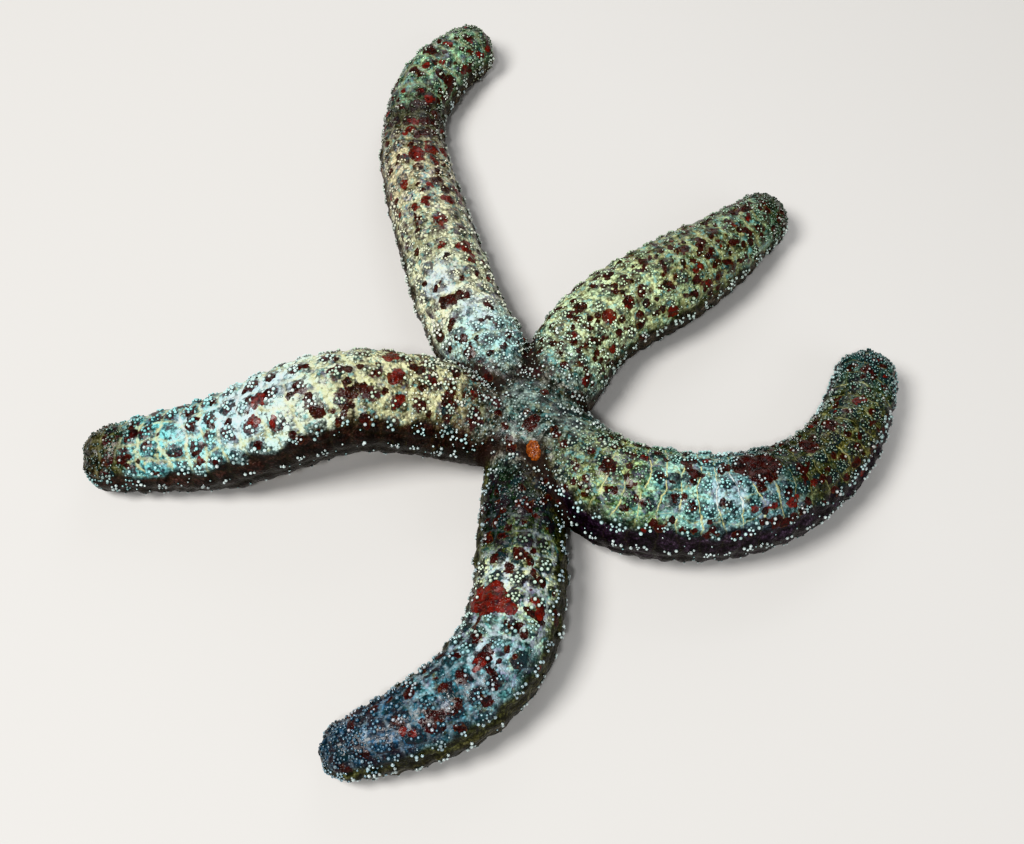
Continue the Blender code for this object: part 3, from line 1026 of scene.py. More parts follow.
def skinTint(found, points):
    # the ground colour: each arm's own along it, blended over the disc, with painted shade in the clefts
    # between arms, low on the flanks, deep in the furrows and inside the mouth
    weights = np.exp(found["above"].min(axis=1, keepdims=True) - found["above"])
    weights /= weights.sum(axis=1, keepdims=True)
    drift, wave, seed = discMarks["drift"]
    shift = drift * ripple(points, wave, seed)
    tint = np.zeros((len(points), 3))
    for column, looks in enumerate(markings.values()):
        marks, colours = zip(*looks["tints"])
        for channel, levels in enumerate(zip(*colours)):
            values = np.interp(found["along"][:, column] + shift, marks, levels)
            tint[:, channel] += weights[:, column] * values
    disc, along, high = discMarks, own(found, "along"), points[:, 2]
    tint = mixTint(tint, disc["tint"], smoothStep(*disc["reach"], along))
    # painted shade in the clefts between arms
    crotchShade = smoothStep(*disc["crotchAbove"], found["second"]) * smoothStep(*disc["crotchAlong"], along)
    tint = mixTint(tint, disc["crotchShade"], disc["crotchShare"] * crotchShade)
    # the flanks: their own dark skin, with painted shade growing darker down the flank
    flank, low = flankShare(found, points)
    flankTint = mixTint(perArm(found, markings, "flankEdge"), perArm(found, markings, "flank"), low)
    tint = mixTint(tint, flankTint, flank)
    under = smoothStep(*disc["underAt"], np.abs(own(found, "turn")))
    under = under * smoothStep(*disc["underEnd"], perArm(found, arms, "length") - along)
    # the underside, darker deeper in the furrow with painted shade
    depth = own(found, "above") / np.maximum(own(found, "radius"), 0.1)
    pale = mixTint(np.array(disc["under"]), disc["furrow"], smoothStep(*disc["furrowShadeAt"], depth))
    tint = mixTint(tint, pale, under)
    # painted shade inside the mouth's hollow
    mouth = smoothStep(*disc["mouthReach"], np.linalg.norm(points[:, :2], axis=1))
    mouth = mouth * smoothStep(*disc["mouthLow"], high) * smoothStep(*disc["mouthTop"], high)
    return mixTint(tint, disc["mouth"], mouth), flank, under


# The unwrap of the skin, one strip to an arm, laid out in three rows of the picture

unwrap = {
    "width": 128.0,  # mm across the whole map
    "rowHeight": 1 / 3,
    "strip": 0.31,
    "furrowTurn": 157.0,
    "furrowDepth": 0.6,  # of the radius, at the furrow's roof
    "furrowStart": 0.08,
    "shares": (0.82, 0.1, 0.08),  # of a strip's half: outer side, furrow's wall, furrow's roof
    # row, and start along it in mm
    "places": {
        "arm_left": (0, 1.5),
        "arm_front": (0, 65.0),
        "arm_back_right": (1, 1.5),
        "arm_right": (1, 60.0),
        "arm_back": (2, 1.5),
    },
}


def bakePlace(column, along, share):
    # u and v for arm number column, from the distance along and the share round it, -1 to 1
    rows, starts = np.array([unwrap["places"][name] for name in arms])[column].T
    u = (starts + along) / unwrap["width"]
    v = unwrap["rowHeight"] * (rows + 0.5) + unwrap["strip"] * share / 2
    return np.stack([u, v], axis=-1)


def girthShare(turn, above, radius):
    # the share round the section: the furrow's wall and roof come after the outer side
    size, start, full = np.abs(turn), unwrap["furrowTurn"], unwrap["furrowDepth"]
    outer, wall, roof = unwrap["shares"]
    depth = np.clip(-above / np.maximum(radius, 0.1), 0.0, full) / full
    inFurrow = (size > start) & (depth > unwrap["furrowStart"])
    furrow = outer + wall * depth + roof * (size - start) / (180 - start)
    return np.where(inFurrow, furrow, outer * size / 180) * np.sign(turn)


def putAttribute(mesh, name, values):
    layer = mesh.attributes.new(name, "FLOAT", "POINT")
    layer.data.foreach_set("value", np.ascontiguousarray(values, np.float32))


def putColour(mesh, name, tint):
    layer = mesh.attributes.new(name, "FLOAT_COLOR", "POINT")
    layer.data.foreach_set("color", np.column_stack([tint, np.ones(len(tint))]).astype(np.float32).ravel())


def putMap(mesh, name, places):
    mesh.uv_layers.new(name=name).data.foreach_set("uv", places.astype(np.float32).ravel())


def markSkin(mesh):
    points = readCorners(mesh)
    found = locate(points)
    along = own(found, "along")
    tint, flank, under = skinTint(found, points)
    putColour(mesh, "tint", tint)
    roots = perArm(found, arms, "root")
    start, full = discMarks["armFrom"]
    onArm = smoothStep(roots + start, roots + full, along)
    upper = (1 - flank) * (1 - under)
    inside = smoothStep(*discMarks["ownArm"], found["gap"])

    def overDisc(disc, key, column=None):
        return disc * (1 - onArm) + perArm(found, markings, key, column) * onArm

    folds = np.zeros(len(points))
    for column, looks in enumerate(markings.values()):
        if "folds" in looks:
            first, full, last, end = looks["folds"]
            rise = smoothStep(first, full, along) * smoothStep(end, last, along)
            folds = np.where(found["arm"] == column, rise, folds)
    # painted shade: a dark line along the creases where two arms meet
    crease = creaseShare(found, discMarks["creaseGap"]) * smoothStep(*skinShape["creaseAlong"], along)
    takes = discMarks["flankTakes"]
    ribs = onArm * (1 - takes["ribs"] * flank) * (1 - under) * inside
    fields = {
        "maroon": spotField(points, maroonSpots),
        "brick": spotField(points, brickSpots),
        "bed": spotField(points, bedSpots),
        "highlight": spotField(points, highlightSpots),
        "flank": flank,
        "under": under,
        "ribsAcross": perArm(found, markings, "ribs", 0) * ribs,
        "ribsAlong": perArm(found, markings, "ribs", 1) * ribs,
        "ribWidth": perArm(found, markings, "ribWidth"),
        "ribBlue": perArm(found, markings, "ribBlue"),
        "bedDark": perArm(found, markings, "bed", 0) * upper,
        "bedRed": perArm(found, markings, "bed", 1),
        "cream": overDisc(discMarks["wash"][0], "wash", 0) * upper,
        "violet": overDisc(discMarks["wash"][1], "wash", 1) * upper,
        "aqua": overDisc(discMarks["wash"][2], "wash", 2) * upper,
        "streaks": overDisc(discMarks["streak"], "streak") * inside * upper,
        "folds": folds * inside * (1 - takes["folds"] * flank) * (1 - under),
        "crease": crease * (1 - under),
    }
    for name, values in fields.items():
        putAttribute(mesh, name, values)
    mapSkin(mesh, found)


def mapSkin(mesh, found):
    # each face keeps to the arm of its first corner, so that no pattern is torn at a border
    starts, totals = (readValues(mesh.polygons, key, kind=np.int32) for key in ("loop_start", "loop_total"))
    corners = readValues(mesh.loops, "vertex_index", kind=np.int32)
    first = np.repeat(corners[starts], totals)
    column = found["arm"][first]
    along, turn = found["along"][corners, column], found["turn"][corners, column]
    ahead = turn - found["turn"][first, column]
    turn = np.where(ahead > 180, turn - 360, np.where(ahead < -180, turn + 360, turn))
    girth = girthShare(turn, found["above"][corners, column], found["radius"][corners, column])
    putMap(mesh, "OFBake", bakePlace(column, along, girth))
    lines = np.zeros((len(corners), 2))
    for index, arm in enumerate(arms.values()):
        chosen = column == index
        lines[chosen] = np.column_stack(lattice(arm, along[chosen], turn[chosen]))
    putMap(mesh, "Plates", lines)


markSkin(skin.data)
print("skin marked")

# Node helpers


def feed(tree, socket, value):
    if isinstance(value, bpy.types.NodeSocket):
        tree.links.new(value, socket)
    else:
        socket.default_value = value


def addNode(tree, kind, inputs=None, **settings):
    made = tree.nodes.new(kind)
    for name, value in settings.items():
        setattr(made, name, value)
    for name, value in (inputs or {}).items():
        feed(tree, made.inputs[name], value)
    return made


def maths(tree, operation, first, second=0.0, clamp=False):
    inputs = {0: first, 1: second}
    return addNode(tree, "ShaderNodeMath", inputs, operation=operation, use_clamp=clamp).outputs[0]


def times(tree, *values):
    product = values[0]
    for value in values[1:]:
        product = maths(tree, "MULTIPLY", product, value)
    return product


def mixColour(tree, share, first, second, blend="MIX"):
    made = addNode(tree, "ShaderNodeMix", {0: share}, data_type="RGBA", blend_type=blend)
    for index, value in ((6, first), (7, second)):
        feed(tree, made.inputs[index], (*value, 1) if isinstance(value, tuple) else value)
    return made.outputs[2]


def readAttribute(tree, name, output="Fac"):
    return addNode(tree, "ShaderNodeAttribute", attribute_name=name).outputs[output]


def spread(tree, value, low, high):
    inputs = {"Value": value, "To Min": low, "To Max": high}
    return addNode(tree, "ShaderNodeMapRange", inputs).outputs["Result"]


def softStep(tree, value, low, high):
    inputs = {"Value": value, "From Min": low, "From Max": high}
    made = addNode(tree, "ShaderNodeMapRange", inputs, interpolation_type="SMOOTHSTEP")
    return made.outputs["Result"]


def objectPlace(tree):
    return addNode(tree, "ShaderNodeTexCoord").outputs["Object"]


def noise(tree, scale, detail, roughness=0.5, place=None):
    if place is None:
        place = objectPlace(tree)
    inputs = {"Vector": place, "Scale": scale, "Detail": detail, "Roughness": roughness}
    return addNode(tree, "ShaderNodeTexNoise", inputs).outputs["Fac"]


def pitted(tree, scale, feature="F1"):
    inputs = {"Vector": objectPlace(tree), "Scale": scale, "Randomness": 1.0}
    return addNode(tree, "ShaderNodeTexVoronoi", inputs, feature=feature).outputs


def newGroup(name, inputs, outputs):
    group = bpy.data.node_groups.new(name, "ShaderNodeTree")
    for title, value in inputs.items():
        socket = group.interface.new_socket(title, in_out="INPUT", socket_type="NodeSocketFloat")
        socket.default_value = value
    for title in outputs:
        group.interface.new_socket(title, in_out="OUTPUT", socket_type="NodeSocketFloat")
    return group, addNode(group, "NodeGroupInput").outputs, addNode(group, "NodeGroupOutput").inputs


def useGroup(tree, group, **inputs):
    return addNode(tree, "ShaderNodeGroup", inputs, node_tree=group).outputs


def makeMottleGroup():
    # an uneven mask: noise of a given size, cut between two levels
    group, given, put = newGroup("mottle", {"Scale": 900.0, "Low": 0.4, "High": 0.6}, ["Mask"])
    uneven = noise(group, given["Scale"], 3.0, 0.6)
    feed(group, put["Mask"], softStep(group, uneven, given["Low"], given["High"]))
    return group


def makePatchGroup():
    # a patch with a ragged edge, from a field in mm that is above zero inside it
    defaults = {"Field": 0.0, "Ragged": 0.25, "Scale": 1500.0, "Edge": 0.0, "Soft": 0.05}
    group, given, put = newGroup("patch", defaults, ["Mask"])
    shift = maths(group, "SUBTRACT", noise(group, given["Scale"], 2.0), 0.5)
    shift = times(group, shift, times(group, given["Ragged"], 4.0))
    field = maths(group, "SUBTRACT", maths(group, "ADD", given["Field"], shift), given["Edge"])
    feed(group, put["Mask"], softStep(group, field, times(group, given["Soft"], -1.0), given["Soft"]))
    return group


def makeWetGroup():
    # the fine grain of wet skin: a height and an uneven roughness
    defaults = {"Scale": 2600.0, "Roughness": 0.28, "Spread": 0.15}
    group, given, put = newGroup("wet grain", defaults, ["Height", "Roughness"])
    uneven, pits = noise(group, given["Scale"], 2.0), pitted(group, given["Scale"], "SMOOTH_F1")
    feed(group, put["Height"], maths(group, "SUBTRACT", uneven, pits["Distance"]))
    shift = times(group, maths(group, "SUBTRACT", uneven, 0.5), given["Spread"])
    feed(group, put["Roughness"], maths(group, "ADD", given["Roughness"], shift))
    return group


def makeCellGroup():
    # ground of tiny cells: pale middles, dark seams, and two random values to a cell
    group, given, put = newGroup("fine cells", {"Scale": 2400.0}, ["Height", "Seam", "First", "Second"])
    cells = pitted(group, given["Scale"])
    feed(group, put["Height"], softStep(group, cells["Distance"], 0.62, 0.10))
    feed(group, put["Seam"], softStep(group, cells["Distance"], 0.42, 0.66))
    picks = addNode(group, "ShaderNodeSeparateXYZ", {"Vector": cells["Color"]}).outputs
    feed(group, put["First"], picks["X"])
    feed(group, put["Second"], picks["Y"])
    return group


mottleGroup, patchGroup, wetGroup = makeMottleGroup(), makePatchGroup(), makeWetGroup()
cellGroup = makeCellGroup()

# Materials

# name: the noise's scale, and the levels it is cut between
mottles = {
    "broad": (380.0, 0.34, 0.66),
    "middling": (1050.0, 0.38, 0.62),
    "cream": (760.0, 0.53, 0.70),
    "violet": (640.0, 0.48, 0.66),
    "aqua": (1150.0, 0.52, 0.64),
    "ribs": (520.0, 0.32, 0.50),
    "streaks": (1000.0, 0.40, 0.60),
    "beds": (330.0, 0.34, 0.52),
    "bedRed": (500.0, 0.36, 0.52),
    "rim": (700.0, 0.44, 0.60),
    "maroon": (1500.0, 0.38, 0.62),
    "brick": (1300.0, 0.36, 0.64),
    "granules": (3200.0, 0.30, 0.70),
    "feet": (2200.0, 0.35, 0.65),
    "sieve": (3600.0, 0.42, 0.58),
    "sievePale": (1500.0, 0.56, 0.72),
}

patches = {
    "highlight": {"Ragged": 1.6, "Scale": 620.0, "Soft": 1.2},
    "crease": {"Ragged": 0.22, "Soft": 0.30, "Edge": 0.50},
    "bed": {"Ragged": 0.45, "Scale": 1300.0, "Soft": 0.14},
    "rim": {"Ragged": 0.34, "Scale": 1150.0, "Soft": 0.06, "Edge": -0.12},
    "maroon": {"Ragged": 0.34, "Scale": 1150.0, "Soft": 0.07, "Edge": -0.06},
    "brick": {"Ragged": 0.35, "Scale": 1100.0, "Soft": 0.10},
}

skinLooks = {
    "cream": (0.62, 0.62, 0.28),
    "violet": (0.40, 0.40, 0.62),
    "aqua": (0.16, 0.46, 0.46),
    "pore": (0.010, 0.016, 0.013),
    # painted highlight: pale patches, and the ribs made whiter within them
    "highlight": (0.55, 0.72, 0.84),
    "rib": (0.70, 0.68, 0.30),
    "ribBlue": (0.50, 0.62, 0.76),
    "ribHighlight": (0.80, 0.88, 0.93),
    "fold": (0.40, 0.34, 0.13),
    "foldDark": (0.050, 0.010, 0.010),
    "streak": (0.42, 0.38, 0.18),
    "streakDark": (0.055, 0.030, 0.036),
    # crease: painted shade along the creases between arms
    "crease": (0.016, 0.011, 0.010),
    "bed": (0.010, 0.022, 0.026),
    "bedRed": (0.052, 0.009, 0.010),
    "rim": (0.14, 0.05, 0.018),
    "maroon": (0.036, 0.0042, 0.0038),
    "maroonDark": (0.006, 0.0014, 0.0018),
    "brick": (0.15, 0.012, 0.008),
    "brickDark": (0.030, 0.004, 0.004),
    # how fully a layer covers where it is at its strongest, if not in full
    "cover": {"pore": 0.8, "fold": 0.7, "foldDark": 0.8, "streak": 0.6, "streakDark": 0.65}
    | {"crease": 0.85, "maroon": 0.96, "brick": 0.95},
    # how light, or how strong, from a pattern's least to its most
    "spans": {
        "broad": (0.40, 1.45),
        "middling": (0.28, 1.50),
        "cells": (0.50, 1.60),
        "seams": (1.0, 0.35),
        "violetCells": (0.2, 0.9),
        "highlightCells": (0.15, 0.55),
        "ribCells": (0.55, 1.0),
        "ribPale": (0.2, 1.0),
        "streakCells": (0.4, 1.0),
        "streakPale": (0.25, 1.0),
        "rim": (0.15, 0.75),
    },
    "paleFrom": (0.02, 0.30),  # greys between which the ground counts as dark and as pale
    "cellScale": 2700.0,
    "poreScale": 1500.0,
    "poreHeight": (0.40, 0.80),
    "porePick": (0.52, 0.60),
    "ribWobble": (900.0, 0.34),
    "ribSoft": 0.15,
    "ribTakesHighlight": 0.8,
    "streakLight": (0.52, 0.68),
    "streakDeep": (0.48, 0.36),
    "scales": {"folds": (5.2, 1.5), "streaks": (1.1, 7.0)},  # of a plate's length and breadth
    "heights": {"cells": 0.8, "ribs": 0.6, "folds": 0.7, "grain": 0.3},
    "bump": (0.11, 0.9),
    "roughness": 0.36,
    "dull": {"flank": 0.22, "crease": 0.45},
    "specular": 0.32,
    "coat": 0.14,
    "coatRoughness": 0.12,
}


def mottled(tree, name):
    scale, low, high = mottles[name]
    return useGroup(tree, mottleGroup, Scale=scale, Low=low, High=high)["Mask"]


def patch(tree, name, field=None):
    return useGroup(tree, patchGroup, Field=readAttribute(tree, field or name), **patches[name])["Mask"]


def newMaterial(name):
    material = bpy.data.materials.new(name)
    material.use_nodes = True
    return material, material.node_tree, material.node_tree.nodes["Principled BSDF"]


def addBump(tree, shader, height, distance, strength):
    inputs = {"Height": height, "Strength": strength, "Distance": distance * mm}
    feed(tree, shader.inputs["Normal"], addNode(tree, "ShaderNodeBump", inputs).outputs["Normal"])


def makeSkinMaterial():
    looks = skinLooks
    material, tree, shader = newMaterial("starfish skin")

    def between(value, name):
        return spread(tree, value, *looks["spans"][name])

    def strength(name):
        return readAttribute(tree, name)

    onBack = maths(tree, "MAXIMUM", strength("flank"), strength("under"))
    onBack = maths(tree, "SUBTRACT", 1.0, onBack, clamp=True)
    tint = readAttribute(tree, "tint", "Color")
    grey = addNode(tree, "ShaderNodeRGBToBW", {"Color": tint}).outputs["Val"]
    pale = softStep(tree, grey, *looks["paleFrom"])

    # ground: the tint made deeper and brighter by broad, middling and fine mottling
    broad, middling = (between(mottled(tree, name), name) for name in ("broad", "middling"))
    cells = useGroup(tree, cellGroup, Scale=looks["cellScale"])
    light = times(tree, broad, middling, between(cells["First"], "cells"), between(cells["Seam"], "seams"))
    colour = mixColour(tree, 1.0, tint, light, "MULTIPLY")
    violet = times(tree, mottled(tree, "violet"), between(cells["Second"], "violetCells"))
    pores = useGroup(tree, cellGroup, Scale=looks["poreScale"])
    pore = softStep(tree, pores["Height"], *looks["poreHeight"])
    pore = times(tree, pore, softStep(tree, pores["Second"], *looks["porePick"]))
    # painted highlight: pale patches on the back, which also whiten the ribs
    highlight = patch(tree, "highlight")

    # ribs: the pale net between the plates
    lines = addNode(tree, "ShaderNodeUVMap", uv_map="Plates").outputs["UV"]
    split = addNode(tree, "ShaderNodeSeparateXYZ", {"Vector": lines}).outputs
    wobbleScale, wobble = looks["ribWobble"]
    shift = times(tree, maths(tree, "SUBTRACT", noise(tree, wobbleScale, 2.0), 0.5), wobble)
    width = strength("ribWidth")
    ribs = []
    for axis, attribute in (("X", "ribsAcross"), ("Y", "ribsAlong")):
        near = maths(tree, "FRACT", maths(tree, "ADD", split[axis], shift))
        near = maths(tree, "ABSOLUTE", maths(tree, "SUBTRACT", near, 0.5))
        line = softStep(tree, near, width, times(tree, width, looks["ribSoft"]))
        ribs.append(times(tree, line, strength(attribute)))
    rib = times(tree, maths(tree, "MAXIMUM", *ribs), mottled(tree, "ribs"))
    ribColour = mixColour(tree, strength("ribBlue"), looks["rib"], looks["ribBlue"])
    ribHighlight = times(tree, highlight, looks["ribTakesHighlight"])

    # pale and dark streaks: the folds across the arch, and those round each arm's base
    def streaked(name):
        scaled = {axis: times(tree, split[axis], scale) for axis, scale in zip("XY", looks["scales"][name])}
        place = addNode(tree, "ShaderNodeCombineXYZ", scaled).outputs["Vector"]
        uneven = noise(tree, 1.0, 4.0, place=place)
        shown = times(tree, strength(name), between(pale, "streakPale"))
        bright = times(tree, softStep(tree, uneven, *looks["streakLight"]), mottled(tree, "streaks"))
        dark = softStep(tree, uneven, *looks["streakDeep"])
        return times(tree, bright, shown, between(cells["First"], "streakCells")), times(tree, dark, shown)

    fold, foldDark = streaked("folds")
    streak, streakDark = streaked("streaks")
    # painted shade along the creases between arms
    crease = patch(tree, "crease")
    bedRed = times(tree, strength("bedRed"), mottled(tree, "bedRed"))
    layers = {
        "cream": times(tree, mottled(tree, "cream"), strength("cream"), pale),
        "violet": times(tree, violet, strength("violet"), pale),
        "aqua": times(tree, mottled(tree, "aqua"), strength("aqua"), pale),
        "pore": times(tree, pore, onBack),
        "highlight": times(tree, highlight, onBack, middling, between(cells["First"], "highlightCells")),
        "rib": times(tree, rib, between(cells["First"], "ribCells"), between(pale, "ribPale")),
        "fold": fold,
        "foldDark": foldDark,
        "streak": streak,
        "streakDark": streakDark,
        "crease": crease,
        "bed": times(tree, patch(tree, "bed"), mottled(tree, "beds"), strength("bedDark")),
        "rim": times(tree, patch(tree, "rim", "maroon"), between(mottled(tree, "rim"), "rim")),
        "maroon": patch(tree, "maroon"),
        "brick": patch(tree, "brick"),
    }
    paints = {
        "rib": mixColour(tree, ribHighlight, ribColour, looks["ribHighlight"]),
        "bed": mixColour(tree, bedRed, looks["bed"], looks["bedRed"]),
        "maroon": mixColour(tree, mottled(tree, "maroon"), looks["maroonDark"], looks["maroon"]),
        "brick": mixColour(tree, mottled(tree, "brick"), looks["brickDark"], looks["brick"]),
    }
    for name, share in layers.items():
        if name in looks["cover"]:
            share = times(tree, share, looks["cover"][name])
        colour = mixColour(tree, share, colour, paints.get(name, looks[name]))
    feed(tree, shader.inputs["Base Color"], colour)

    wet = useGroup(tree, wetGroup, Roughness=looks["roughness"])
    dull = {"flank": strength("flank"), "crease": crease}
    dull = [times(tree, share, looks["dull"][name]) for name, share in dull.items()]
    roughness = maths(tree, "ADD", wet["Roughness"], maths(tree, "MAXIMUM", *dull))
    feed(tree, shader.inputs["Roughness"], roughness)
    feed(tree, shader.inputs["Coat Weight"], spread(tree, crease, looks["coat"], 0.0))
    shader.inputs["Specular IOR Level"].default_value = looks["specular"]
    shader.inputs["Coat Roughness"].default_value = looks["coatRoughness"]
    height = times(tree, cells["Height"], looks["heights"]["cells"])
    for name, part in (("ribs", rib), ("folds", fold), ("grain", wet["Height"])):
        height = maths(tree, "ADD", height, times(tree, part, looks["heights"][name]))
    addBump(tree, shader, height, *looks["bump"])
    return material


# The looks of the small forms, whose own tints, with painted shade and painted highlights, are in their
# "grain" attribute

formLooks = {
    "granules": {
        "mottle": "granules",
        "light": (0.75, 1.12),
        "wet": {"Roughness": 0.20, "Spread": 0.1},
        "coat": 0.5,
        "coatRoughness": 0.06,
    },
    "tube feet": {
        "mottle": "feet",
        "light": (0.72, 1.1),
        "wet": {"Roughness": 0.32, "Scale": 4000.0},
        "coat": 0.3,
        "coatRoughness": 0.15,
        "bump": (0.05, 0.6),
    },
}
formLooks["spines"] = formLooks["tube feet"] | {"wet": {"Roughness": 0.38, "Scale": 4000.0}}


def makeFormMaterial(name):
    looks = formLooks[name]
    material, tree, shader = newMaterial(name)
    light = spread(tree, mottled(tree, looks["mottle"]), *looks["light"])
    colour = mixColour(tree, 1.0, readAttribute(tree, "grain", "Color"), light, "MULTIPLY")
    feed(tree, shader.inputs["Base Color"], colour)
    wet = useGroup(tree, wetGroup, **looks["wet"])
    feed(tree, shader.inputs["Roughness"], wet["Roughness"])
    shader.inputs["Coat Weight"].default_value = looks["coat"]
    shader.inputs["Coat Roughness"].default_value = looks["coatRoughness"]
    if "bump" in looks:
        addBump(tree, shader, wet["Height"], *looks["bump"])
    return material


skin.data.materials.clear()
skin.data.materials.append(makeSkinMaterial())
print("skin finished")

# Small forms, each drawn once and copied over the skin into joined meshes


def drawShape(rings, sides):
    # a small turned shape along +z, from (radius, height) pairs, open below and with its top at 1:
    # its corners and its faces
    bm = bmesh.new()
    levels = extrudeCircle(bm, sides, len(rings))
    for level, (radius, height) in zip(levels, rings):
        for corner in level:
            corner.co = (corner.co.x * radius, corner.co.y * radius, height)
    top = bmesh.ops.poke(bm, faces=[bm.faces.new(levels[-1])])["verts"][0]
    top.co.z = 1.0
    bmesh.ops.recalc_face_normals(bm, faces=bm.faces)
    bm.verts.index_update()
    corners = np.array([corner.co[:] for corner in bm.verts])
    faces = [[corner.index for corner in face.verts] for face in bm.faces]
    bm.free()
    return corners, faces


def copyShape(name, shape, roots, axes, sizes, colours, shades):
    # one mesh with a copy of the shape for every root, its axes given as rows
    corners, faces = shape
    count = len(roots)
    scaled = corners[None] * np.asarray(sizes)[:, None]
    points = np.asarray(roots)[:, None] + np.einsum("gvk,gkx->gvx", scaled, np.asarray(axes))
    totals = np.tile([len(face) for face in faces], count)
    indices = (np.concatenate(faces)[None] + np.arange(count)[:, None] * len(corners)).ravel()
    mesh = bpy.data.meshes.new(name)
    mesh.vertices.add(count * len(corners))
    mesh.loops.add(len(indices))
    mesh.polygons.add(len(totals))
    mesh.loops.foreach_set("vertex_index", indices.astype(np.int32))
    mesh.polygons.foreach_set("loop_start", (np.cumsum(totals) - totals).astype(np.int32))
    mesh.vertices.foreach_set("co", toFrame(points.reshape(-1, 3)).astype(np.float32).ravel())
    mesh.update(calc_edges=True)
    mesh.validate()
    mesh.shade_smooth()
    # each copy's colour times the shape's shades: painted shade at the foot and, on granules, a painted
    # highlight on the crown
    tint = np.repeat(np.array(colours), len(corners), axis=0) * np.tile(shades, count)[:, None]
    putColour(mesh, "grain", np.clip(tint, 0.0, 0.95))
    return addObject(name, mesh)


def axesAlong(out):
    # three axes with the last along out, spun at random
    spin = chance.uniform(0, math.tau)
    beside = Vector(out).orthogonal().normalized()
    other = Vector(out).cross(beside)
    first = beside * math.cos(spin) + other * math.sin(spin)
    return [first[:], Vector(out).cross(first)[:], tuple(out)]


# Granules

grains = {
    "rings": [(1.14, -0.46), (1.03, -0.14), (0.97, 0.20), (0.76, 0.63), (0.42, 0.89)],
    "sides": 8,
    "shades": (0.03, 0.16, 0.50, 0.90, 1.15, 1.25),  # from the dark foot in the skin to the crown
    # shades: painted shade in the dark foot and a painted highlight on the crown
    "tall": 0.88,
    "lift": (0.30, 0.015),  # its middle above the skin: a share of its radius, and mm
    "patch": 0.0015,  # half a granule's patch on the bake map
    "gap": 0.86,  # least distance between two granules, of the sum of their radii
    "cell": 0.7,  # of the grid that finds a granule's neighbours
    "floorClear": 0.05,
    "tipClear": 0.6,
    "turnStep": 2.39996,  # in a cluster, from one granule to the next
    "packing": (1.75, 0.62),
    "stray": 0.3,
    "unlike": (0.85, 1.15),  # one granule's light beside its cluster's
    "filled": 0.9,
    "edgeSpan": 16.0,  # degrees on each side of the flank's start that count as its edge
    "lowTurn": 104,
    "edge": {"count": (5, 10), "size": (0.14, 0.28), "spread": 1.0, "light": (0.55, 1.05)},
    "flank": {"count": (2, 7), "size": (0.13, 0.27), "spread": 1.1, "light": (0.45, 1.0)},
    "low": {"count": (1, 3), "size": (0.12, 0.21), "spread": 1.3, "light": (0.35, 0.8), "filled": 0.7},
    "backLight": (0.35, 1.0),
    "takesTint": 0.42,
    "tintGain": 1.8,
    "singleSize": (0.08, 0.15),
    "singleTurn": 115,
    "singleStart": 8,  # before the root
    "ribBare": 0.9,
    "flankBare": 0.8,
    "tipReach": 7.0,  # how far from the tip the granules crowd
    "tipCrowd": 1.3,
    "tipCount": 260,
    "tipSize": (0.13, 0.2),
    "tipLight": (0.3, 0.9),
    "tipTurn": 110,
    "discCount": 950,
    "discReach": 16.0,
    "discSize": (0.10, 0.18),
    "discLight": (0.45, 1.05),
    "discTint": (0.42, 0.62, 0.62),
    "discCluster": {"count": (3, 8), "size": (0.15, 0.25), "spread": 0.9, "light": (0.7, 1.15)},
    "white": (0.62, 0.74, 0.73),
    "nearDisc": 9.0,
    # bright: granules dim with the ground's tint, so they share its real dark colour and the painted shade
    # some tints hold
    "bright": (0.30, 2.1, 1.15),  # on the darkest ground, its growth with the ground, and its limit
    "onSpot": {"brick": 0.05, "deep": 0.45, "bareDeep": 0.85, "bare": 0.45},
    "spotTint": (0.78, 0.70, 0.70),
    "spotShare": 0.35,
}

grainList = []
grainCells = {}


def addGrain(hit, size, colour, light):
    if hit is None:
        return
    place, out = hit
    if place[2] < size + grains["floorClear"]:
        return
    cell = tuple(int(value // grains["cell"]) for value in place)
    for step in itertools.product((-1, 0, 1), repeat=3):
        for otherPlace, otherSize in grainCells.get(tuple(np.add(cell, step)), ()):
            if np.linalg.norm(otherPlace - place) < grains["gap"] * (size + otherSize):
                return
    grainCells.setdefault(cell, []).append((place, size))
    tint = [channel * light for channel in colour]
    grainList.append({"place": place, "out": out, "size": size, "colour": tint})


def growCluster(arm, along, turn, kind, colour):
    count = chance.randint(*kind["count"])
    light = chance.uniform(*kind.get("light", grains["backLight"]))
    start = chance.uniform(0, math.tau)
    wide, growth = grains["packing"]
    for index in range(count):
        size = chance.uniform(*kind["size"])
        angle = start + index * grains["turnStep"] + chance.uniform(-grains["stray"], grains["stray"])
        far = kind["spread"] * size * wide * math.sqrt(index * growth)
        aside = math.degrees(far * math.sin(angle) / float(radiusAt(arm, along)))
        place = along + far * math.cos(angle)
        if place < arm["length"] - grains["tipClear"]:
            hit = castToArm(arm, place, turn + aside)
            addGrain(hit, size, colour, light * chance.uniform(*grains["unlike"]))


def blend(first, second, share):
    return tuple(a + (b - a) * share for a, b in zip(first, second))


